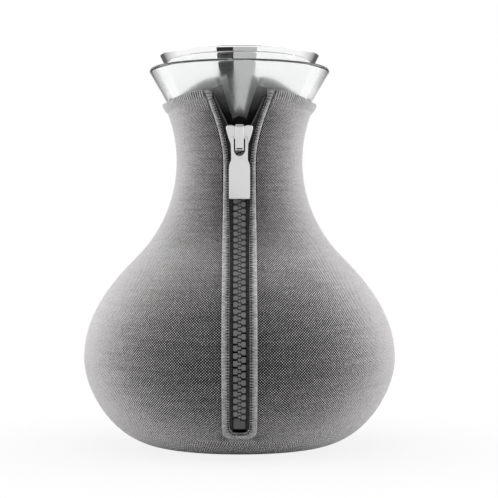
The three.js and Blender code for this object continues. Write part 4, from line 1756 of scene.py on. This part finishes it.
@dataclass
class Slider:
    """The cast slider, its bridge and the pull tab."""

    zip: Zip
    top_half: float = 6.65
    foot_half: float = 4.2
    plate_out: float = 1.0
    plate_t: float = 1.15
    rail_out: float = 0.87
    back_in: float = 2.75
    cap_half: float = 2.08
    cap_h: float = 3
    tab_l: float = 30
    tab_t: float = 1.2
    tab_half: float = 5.2
    tab_neck_half: float = 4.1
    slot_half: float = 2.75
    slot_l: float = 8.5
    tab_rest_deg: float = 10.4

    @property
    def face_out(self) -> float:
        """How far the front of the upper plate stands out."""
        return self.plate_out + self.plate_t

    @property
    def place(self) -> Matrix:
        """The slider's own frame."""
        return self.zip.frame_at(self.zip.slider_s)

    def outline(self, trim: float = 0, widest: float = 9) -> list[Point]:
        """The slider's outline: narrow foot, waist and two round shoulders.

        Args:
            trim: How far inside the edge.
            widest: The most that half of it measures.

        Returns:
            The points, counterclockwise.
        """
        length = self.zip.slider_l
        low, high = -length / 2 + 0.5 * trim, length / 2 - 0.5 * trim
        top = min(self.top_half, widest) - trim
        foot = min(self.foot_half, widest) - trim
        heel, waist = (foot - 0.6, low), (foot + 0.08, low + 0.25 * length)
        shoulder, crown = (top, 0.36 * length), (top - 1.5, high)
        right = [heel, *bezier([heel, (foot, low), (foot, low + 0.7)], 4), waist]
        right += bezier([waist, (0.4 * foot + 0.6 * top, 0), shoulder], 8)
        right += bezier([shoulder, (top + 0.15, high), crown], 6)
        right += bezier([crown, (0.55 * top, high), (0.42 * top, high - 0.55)], 4)
        return mirrored(right)

    def build_body(self, metal: Material) -> None:
        """The two plates, their rails and the wedge between them.

        Args:
            metal: Its finish.
        """
        face = plate("slider_face", self.outline(), self.plate_out, self.face_out)
        bevel(face, width=0.42, segments=4)
        rails = plate("slider_rails", self.outline(0.02), self.rail_out, self.plate_out + 0.3)
        cut(rails, plate("channel", self.channel(1.05), -1, self.plate_out + 0.05))
        back_low = -self.back_in - 0.55
        back = plate("slider_back", self.outline(0.5, 6.3), back_low, -self.back_in)
        bevel(back, width=0.15, segments=2)
        length = self.zip.slider_l
        prow = mirrored([(0.3, 0.1 * length), (1.0, 0.3 * length), (1.0, 0.44 * length)])
        wedge = plate("slider_wedge", prow, -self.back_in - 0.1, self.plate_out + 0.1)
        body = join("slider_body_cast", [face, rails, back, wedge])
        body.data.transform(self.place)
        smooth(body, 40)
        dress(body, metal, "satin_metal", Body.SLIDER, "slider_body")

    def channel(self, trim: float) -> list[Point]:
        """The outline of the teeth's way through the slider, open at both ends.

        Args:
            trim: How far inside the slider's edge.

        Returns:
            The points, counterclockwise.
        """
        reach = self.zip.slider_l
        inside = self.outline(trim)
        return [(x, y if abs(y) < 0.4 * reach else math.copysign(reach, y)) for x, y in inside]

    def build_cap(self, metal: Material, shade: Material) -> None:
        """The bridge over the slider, with the slit in its lower leg, and painted shade on the
        slit's floor.

        Args:
            metal: Its finish.
            shade: The finish of the painted shade on the slit's floor.
        """
        foot, high = self.face_out + 0.25, self.face_out + self.cap_h
        under = high - 0.8
        low, end = -self.zip.slider_l / 2, self.zip.slider_l / 2 + 0.5
        inner_low, inner_end = low + 1.5, end - 1.9
        heel, brow = (end, foot + 0.6), (low + 0.6, high)
        side = [(low, foot), (inner_low, foot), (inner_low, under)]
        side += [(inner_end, under), (inner_end, foot), (end - 0.6, foot), heel]
        side += bezier([heel, (end, high), (end - 2.2, high)], 6)
        side += [brow, *bezier([brow, (low, high), (low, high - 0.7)], 6)]
        cap = plate("slider_cap_cast", side, -self.cap_half, self.cap_half)
        cap.data.transform(Matrix(((0, 0, 1, 0), (1, 0, 0, 0), (0, 1, 0, 0), (0, 0, 0, 1))))
        bevel(cap, width=0.28, segments=3, degrees=40)
        half, slit_low, slit_high = 0.7 * self.cap_half, low + 0.8, low + 1.45
        slit = [(-half, slit_low), (half, slit_low), (half, slit_high), (-half, slit_high)]
        cut(cap, plate("slit_cutter", slit, foot + 0.5, high + 1))
        cap.data.transform(self.place)
        smooth(cap, 40)
        # A near-black plate on the slit's floor: painted shade.
        ground = plate("slider_slit_painted_shade", slit, foot + 0.4, high - 0.5)
        ground.data.transform(self.place)
        dress(ground, shade, "satin_metal", Body.SLIDER)
        dress(cap, metal, "satin_metal", Body.SLIDER, "slider_cap")

    def build_tab(self, metal: Material) -> None:
        """The waisted tab with its slot, hung on the bridge.

        Args:
            metal: Its finish.
        """
        neck, half, length, round_r = self.tab_neck_half, self.tab_half, self.tab_l, 0.8
        end, shoulder = (half - round_r, -length), (half, -0.53 * length)
        right = [end, *bezier([end, (half, -length), (half, round_r - length)], 6), shoulder]
        right += bezier([shoulder, (half, -0.42 * length), (neck, -0.37 * length)], 8)
        right += [(neck, -0.27 * length), (neck + 0.3, -0.2), (neck - 0.1, 0.45)]
        tab = plate("pull_tab_cast", mirrored(right), -self.tab_t / 2, self.tab_t / 2)
        r, top = self.slot_half, -0.35
        foot = top + r - self.slot_l
        turns = [math.pi + math.pi * k / 14 for k in range(15)]
        slot = [(r * math.cos(a), foot + r * math.sin(a)) for a in turns]
        cut(tab, plate("slot_cutter", [*slot, (r, top), (-r, top)], -2, 2))
        bevel(tab, width=0.2, segments=2)
        pivot = self.face_out + 0.3 + self.tab_t / 2
        lean = Matrix.Rotation(-math.radians(self.tab_rest_deg), 4, "X")
        tab.data.transform(self.place @ Matrix.Translation((0, 0, pivot * MM)) @ lean)
        smooth(tab, 40)
        dress(tab, metal, "satin_metal", Body.PULL, "pull_tab")

    def build_recess_painted_shade(self, shade: Material) -> None:
        """A near-black plate on the slider's face under the tab's slot: painted shade for the
        recess there.

        Args:
            shade: Its finish.
        """
        half, low, high = self.slot_half + 0.35, -self.zip.slider_l / 2 + 0.35, -0.25
        outline = [(-half, low), (half, low), (half, high), (-half, high)]
        floor = plate("slider_recess", outline, self.face_out - 0.3, self.face_out + 0.03)
        floor.data.transform(self.place)
        dress(floor, shade, "satin_metal", Body.SLIDER)

    def build(self, metal: Material, shade: Material) -> None:
        """Builds the slider and its tab.

        Args:
            metal: Their finish.
            shade: The finish of the painted shade in the recess under the tab and in the slit.
        """
        self.build_recess_painted_shade(shade)
        self.build_body(metal)
        self.build_cap(metal, shade)
        self.build_tab(metal)


@dataclass
class Strainer:
    """The strainer in the funnel: a ring in the cone, a slotted tube and the cup below it."""

    funnel: Funnel
    gap: float = 0.3
    tube_r: float = 18.5
    wall: float = 0.8
    top: float = 159.13
    length: float = 126
    top_band: float = 10
    foot_band: float = 8
    rows: int = 4
    around: int = 8
    slot_w: float = 2.6
    slot_share: float = 0.74
    ring_r: float = 19.9
    ring_drop: float = 4.5
    ring_rise: float = 8.8
    cup_h: float = 5
    cup_floor: float = 1.2
    drains: int = 6
    drain_r: float = 1.6

    @property
    def foot(self) -> float:
        """The height of the tube's foot."""
        return self.top - self.length

    @property
    def bore(self) -> float:
        """The tube's inner radius."""
        return self.tube_r - self.wall

    def build(self, steel: Material) -> None:
        """Builds the three pieces.

        Args:
            steel: Their finish.
        """
        for name, piece in (
            ("tube", self.build_tube()),
            ("ring", self.build_ring()),
            ("base", self.build_cup()),
        ):
            dress(piece, steel, "polished_steel", Body.STRAINER, f"strainer_{name}")

    def build_tube(self) -> Obj:
        """Turns the tube and opens its slots.

        Returns:
            The tube.
        """
        walls = [(self.bore, self.foot), (self.tube_r, self.foot)]
        walls += [(self.tube_r, self.top), (self.bore, self.top)]
        tube = lathe("strainer_tube_steel", walls, 96)
        cut(tube, join("slots", self.slots()))
        smooth(tube)
        return tube

    def build_ring(self) -> Obj:
        """Turns the ring that rests in the funnel's cone.

        Returns:
            The ring.
        """
        mid, high = self.top + 1.9, self.top + self.ring_rise
        lip = self.funnel.cone(high) - self.gap / math.cos(self.funnel.flare)
        low, r = self.top - self.ring_drop, self.ring_r
        bed, seat = self.tube_r + self.gap, self.top + self.gap
        ring = [(bed, low), (r - 0.4, low), (r, low + 0.4), (r, mid), (lip, high)]
        ring += bezier([(lip, high), (lip - 0.3, high + 0.8), (lip - 1.3, high + 0.5)], 5)
        ring += [(self.bore, mid + 1), (self.bore, seat), (bed, seat)]
        return lathe("strainer_ring_steel", ring, 96)

    def build_cup(self) -> Obj:
        """Turns the cup that closes the tube and opens its drain holes.

        Returns:
            The cup.
        """
        inner = self.bore - self.gap
        floor = self.foot - self.wall - self.gap
        under = floor - self.cup_floor
        r, seat, brim = self.tube_r, self.foot - self.gap, self.foot + self.cup_h
        line = [(0.0, under), (r - 1, under)]
        line += bezier([(r - 1, under), (r, under), (r, under + 0.8)], 5)
        line += [(r, seat), (inner, seat), (inner, brim)]
        line += [(inner - 0.9, brim), (inner - 0.9, floor), (0.0, floor)]
        cup = lathe("strainer_cup_steel", line, 96, closed=False)
        begin()
        bpy.ops.mesh.primitive_cylinder_add(vertices=24, radius=self.drain_r * MM, depth=8 * MM)
        out = Matrix.Translation(Vector((0.55 * inner, 0, floor)) * MM)
        turns = [Matrix.Rotation(math.tau * i / self.drains, 4, "Z") for i in range(self.drains)]
        cut(cup, join("drains", copies(named("drain"), [turn @ out for turn in turns])))
        smooth(cup)
        return cup

    def slots(self) -> list[Obj]:
        """Makes the shapes that open the tube's slots.

        Returns:
            One round-ended bar for each slot.
        """
        row_h = (self.length - self.top_band - self.foot_band) / self.rows
        half, r = self.slot_share * row_h / 2, self.slot_w / 2
        ends = [math.pi * i / 8 for i in range(9)]
        outline = [(r * math.cos(a), half - r + r * math.sin(a)) for a in ends]
        outline += [(-r * math.cos(a), r - half - r * math.sin(a)) for a in ends]
        places = []
        up = Vector((0, 0, 1))
        for row in range(self.rows):
            lift = Matrix.Translation(up * (self.foot + self.foot_band + row_h * (row + 0.5)) * MM)
            for i in range(self.around):
                turn = math.tau * (i + 0.5) / self.around
                out = Vector((math.cos(turn), math.sin(turn), 0))
                places.append(lift @ Matrix((up.cross(out), up, out)).transposed().to_4x4())
        return copies(plate("slot", outline, self.tube_r - 3, self.tube_r + 3), places)


@dataclass
class Lid:
    """The lid inside the funnel: dished plate, gasket and turned knob."""

    funnel: Funnel
    drop: float = 14
    plate_t: float = 1.6
    rim_h: float = 4
    knob_r: float = 8
    knob_h: float = 10
    bore_r: float = 1.8

    @property
    def z(self) -> float:
        """The height of the plate's upper face."""
        return self.funnel.rim_z - self.drop

    def on_knob(self, r: float, h: float) -> Point:
        """A point of the knob, by its shares of radius and height."""
        return r * self.knob_r, self.z + 0.3 + h * self.knob_h

    @property
    def plate_r(self) -> float:
        """The plate's radius, which fits the cone at its underside."""
        return self.funnel.cone(self.z - self.plate_t) - 0.6

    def build(self, steel: Material, silicone: Material) -> None:
        """Builds the lid's pieces.

        Args:
            steel: The finish of plate and knob.
            silicone: The finish of the gasket.
        """
        dress(self.build_plate(), steel, "polished_steel", Body.LID, "lid_plate")
        dress(self.build_gasket(), silicone, "silicone", Body.LID, "lid_gasket")
        dress(self.build_knob(), steel, "polished_steel", Body.LID, "lid_knob")

    def build_plate(self) -> Obj:
        """Turns the dished plate.

        Returns:
            The plate.
        """
        z, under, top, r = self.z, self.z - self.plate_t, self.z + self.rim_h, self.plate_r
        dish = [(self.bore_r, under), (r - 0.4, under), (r, under + 0.4), (r, z - 0.2)]
        dish += [(r - 1, z - 0.2), (r - 1, top - 0.3), (r - 1.3, top), (r - 1.9, top)]
        dish += bezier([(r - 1.9, top), (r - 4, z), (r - 7.5, z)], 8)
        dish += [(self.bore_r, z)]
        return lathe("lid_plate_steel", dish, 96)

    def build_gasket(self) -> Obj:
        """Turns the gasket between plate and cone.

        Returns:
            The gasket.
        """
        low, high, inside = self.z + 0.1, self.z + self.rim_h - 0.6, self.plate_r - 0.7
        gap = 0.3 / math.cos(self.funnel.flare)
        first, last = ((self.funnel.cone(h) - gap, h) for h in (low + 0.5, high - 0.5))
        ring = [(inside, low), (first[0] - 0.6, low), first]
        ring += [last, (last[0] - 0.6, high), (inside, high)]
        return lathe("lid_gasket_silicone", ring, 96)

    def build_knob(self) -> Obj:
        """Turns the knob over its screw.

        Returns:
            The knob.
        """
        foot, waist, brim, crown = (0.62, 0), (0.3, 0.3), (0.95, 0.55), (0.7, 0.97)
        under, floor = (self.on_knob(0, share)[1] for share in (0, 0.6))
        knob = [(0.0, floor), (self.bore_r, floor), (self.bore_r, under), self.on_knob(*foot)]
        for bend in ((foot, waist, brim), (brim, (1.1, 0.85), crown)):
            knob += bezier([self.on_knob(*share) for share in bend], 8)
        knob += [self.on_knob(0.35, 1), self.on_knob(0, 1)]
        return lathe("lid_knob_steel", knob, 64, closed=False)


@dataclass
class Studio:
    """Floor, soft light, dark cards that only show in reflections, and the camera."""

    eye_z: float = 0.10016
    distance: float = 0.767
    lens: float = 107.65
    shift: float = 0.0191
    ambient: float = 0.2
    floor_fade: Point = (0.06, 0.2)
    floor_near: float = 0.86
    floor_tone: float = 0.74
    side_turn: float = 103
    side_lamp: float = 2.4
    top_lamp: float = 1.7
    dark: float = 0.03
    flag: float = 0.12

    def floor(self) -> None:
        """A pale floor that fades into the white background away from the object."""
        begin()
        bpy.ops.mesh.primitive_grid_add(x_subdivisions=8, y_subdivisions=8, size=12)
        floor = named("studio_floor")
        n = Nodes("pale_floor")
        length = n.add("ShaderNodeVectorMath", operation="LENGTH")
        n.link(n.place(), length.inputs[0])
        fade = n.span(length.outputs["Value"], self.floor_fade, (self.floor_near, 1))
        white = n.add("ShaderNodeEmission")
        share = n.times(n.seen(), fade)
        mixed = n.blend(share, n.shader.outputs["BSDF"], white.outputs["Emission"])
        n.link(mixed, n.output.inputs["Surface"])
        n.set(Base_Color=(*grey(self.floor_tone), 1), Roughness=0.9, Specular_IOR_Level=0.0)
        floor.data.materials.append(n.material)

    def world(self) -> None:
        """White to the eye and in reflections, an even soft grey as light."""
        world = bpy.data.worlds.new("studio_world")
        bpy.context.scene.world = world
        world.use_nodes = True
        n = Tree(world.node_tree)
        light, white = (n.add("ShaderNodeBackground") for _ in range(2))
        for node in (light, white):
            node.inputs["Color"].default_value = (1, 1, 1, 1)
        light.inputs["Strength"].default_value = self.ambient
        mixed = n.blend(n.seen(), light.outputs[0], white.outputs[0])
        n.link(mixed, n.add("ShaderNodeOutputWorld").inputs["Surface"])

    def softbox(
        self, name: str, turn: float, height: float, side: float, level: float, away: float
    ) -> None:
        """A large square soft light that faces the object.

        Args:
            name: Its name.
            turn: Its bearing from the camera's side, in degrees, to the right.
            height: The height of its middle.
            side: The length of its side.
            level: How bright its face is.
            away: Its distance.
        """
        data = bpy.data.lights.new(name, "AREA")
        data.size = side
        data.energy = level * math.pi * side**2
        lamp = bpy.data.objects.new(name, data)
        a = math.radians(turn)
        lamp.location = (away * math.sin(a), -away * math.cos(a), height)
        aim = Vector((0, 0, 0.09)) - lamp.location
        lamp.rotation_euler = aim.to_track_quat("-Z", "Y").to_euler()
        bpy.context.scene.collection.objects.link(lamp)

    def card(
        self, name: str, corners: list[Corner], level: float, fade: Point | None = None
    ) -> None:
        """A flat card that shows only in reflections.

        Args:
            name: Its name.
            corners: Its four corners, in metres.
            level: How light it is.
            fade: From where to where, going back, it turns from white to its level and to
                white again, or nothing.
        """
        begin()
        bpy.ops.mesh.primitive_plane_add(size=1)
        card = named(name)
        order = (corners[0], corners[1], corners[3], corners[2])
        for vertex, corner in zip(card.data.vertices, order):
            vertex.co = corner
        n = Nodes(f"{name}_paint")
        n.set(Base_Color=(0, 0, 0, 1), Roughness=1.0, Specular_IOR_Level=0.0)
        n.set(Emission_Color=(*grey(level), 1), Emission_Strength=1.0)
        if fade:
            going_back = n.span(n.axis(n.place(), "Y"), fade, soft=False)
            tones = ((0.0, 1), (0.3, level), (0.65, level), (1.0, 1))
            n.set(Emission_Color=n.ramp(going_back, *((at, grey(tone)) for at, tone in tones)))
        card.data.materials.append(n.material)
        card.visible_camera = False
        card.visible_diffuse = False
        card.visible_shadow = False
        card.visible_transmission = corners[-1][2] < 0.1

    def camera(self) -> None:
        """A level camera at the height of the object's middle."""
        data = bpy.data.cameras.new("studio_camera")
        data.lens = self.lens
        data.sensor_width = 36
        data.shift_x = self.shift
        data.clip_start = 0.01
        camera = bpy.data.objects.new("studio_camera", data)
        camera.location = (0, -self.distance, self.eye_z)
        camera.rotation_euler = (math.pi / 2, 0, 0)
        bpy.context.scene.collection.objects.link(camera)
        bpy.context.scene.camera = camera

    def build(self) -> None:
        """Sets up the studio."""
        bpy.context.scene.view_settings.view_transform = "Standard"
        self.camera()
        self.world()
        self.floor()
        for side in Side:
            name = f"softbox_{side.name.lower()}"
            turn = self.side_turn * side.value
            self.softbox(name, turn, height=0.4, side=0.9, level=self.side_lamp, away=0.95)
        self.softbox("softbox_top", 180, height=1.3, side=1.4, level=self.top_lamp, away=0.05)
        near, far, up = -0.10, -0.30, 0.002
        left = (-0.083, -0.0194, -0.049, -0.2)
        for name, x, level, way in (
            ("dark_card", left, self.dark, 1),
            ("grey_card", (-0.0194, 0.0587, 0.146, -0.049), 0.5, 1),
            ("back_card", left, self.dark, -1),
        ):
            depths = (near, near, far, far)
            self.card(name, [(way * a, way * b, up) for a, b in zip(x, depths)], level)
        for side in Side:
            low, high, front, back = 0.22 * side.value, 0.33 * side.value, 0.02, 1.0
            corners = [(low, front, up), (low, back, up), (high, back, 0.24), (high, front, 0.24)]
            self.card(f"flag_{side.name.lower()}", corners, self.flag, fade=(0.04, 1.0))
        ceiling = [(-0.5, -0.9), (0.5, -0.9), (0.5, -0.05), (-0.5, -0.05)]
        self.card("overhead_card", [(x, y, 0.9) for x, y in ceiling], self.dark)


def main() -> None:
    """Builds every piece in order."""
    logging.basicConfig(level=logging.INFO, format="%(message)s")
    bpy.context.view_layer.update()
    Studio().build()

    weave = WovenFinish().make()
    # Each ribbed finish paints sheen into its colour at the rim, by its lift.
    hem_cloth = RibbedFinish("hem_binding", 0.02, 0.66, strength=0.38, sheen=0.5, lift=0.9).make()
    binding = RibbedFinish("welt_binding", 0.04, 0.74, ribs=0.8, strength=0.2).make()
    piping = RibbedFinish("welt_piping", 0.16, 1.0, ribs=1.6, strength=0.3, sheen=0.8).make()
    tape = RibbedFinish("tape_ribs", 0.006, 0.11, strength=0.45, sheen=0.1).make()
    facing = FacingFinish().make()
    # Pale grey: partly the lining's own colour, partly painted light for the light that reaches the
    # inside through the glass.
    lining = MouldedFinish("jacket_lining", (0.85, 0.85, 0.85), 0.85, skin=0.6).make()
    selvage = RibbedFinish("tape_selvage", 0.1, 0.26, ribs=2.0, strength=0.2).make()
    # Near black: the stitches' own dark thread, partly painted shade of the stitch holes; the
    # slider also uses it as painted shade in its recess and slit.
    thread_and_painted_shade = MouldedFinish("stitch_thread", (0.012, 0.012, 0.013), 0.8).make()
    plastic = MouldedFinish("zip_tooth_plastic", (0.27, 0.265, 0.268), 0.45).make()
    satin = SpunFinish("satin_cast_metal", (0.72, 0.72, 0.725), 0.36, 0.1, grain=0.25).make()
    steel = SpunFinish("polished_steel", (0.95, 0.95, 0.955), 0.035, 0.03, satin=0.2).make()
    brushed = SpunFinish("strainer_steel", (0.75, 0.75, 0.76), 0.2, 0.1, grain=0.15).make()
    silicone = MouldedFinish("dark_silicone", (0.035, 0.036, 0.038), 0.6).make()
    glass = GlassFinish().make()

    outline = Outline()
    opening = Opening()
    flask = Flask(outline)
    flask.build(glass)
    jacket = Jacket(outline, opening, flask)
    jacket.build(weave, hem_cloth, lining)

    chain = Zip(outline, opening, flask)
    chain.build_welt(binding, piping, thread_and_painted_shade)
    chain.build_guard(facing, lining)
    chain.build_stop(MouldedFinish("zip_stop_plastic", (0.12, 0.12, 0.122), 0.5).make())
    for side in Side:
        chain.build_tape(side, tape, selvage)
        chain.build_teeth(side, plastic)
        chain.build_top_stop(side, satin)
    Slider(chain).build(satin, thread_and_painted_shade)

    funnel = Funnel()
    funnel.build(steel)
    Strainer(funnel).build(brushed)
    Lid(funnel).build(brushed, silicone)

    kept = {"slider_lock": satin, "neck_seal": silicone, "lid_screw": brushed}
    for name, material in kept.items():
        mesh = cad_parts[name].data
        mesh.materials.clear()
        mesh.materials.append(material)


if __name__ == "__main__":
    main()
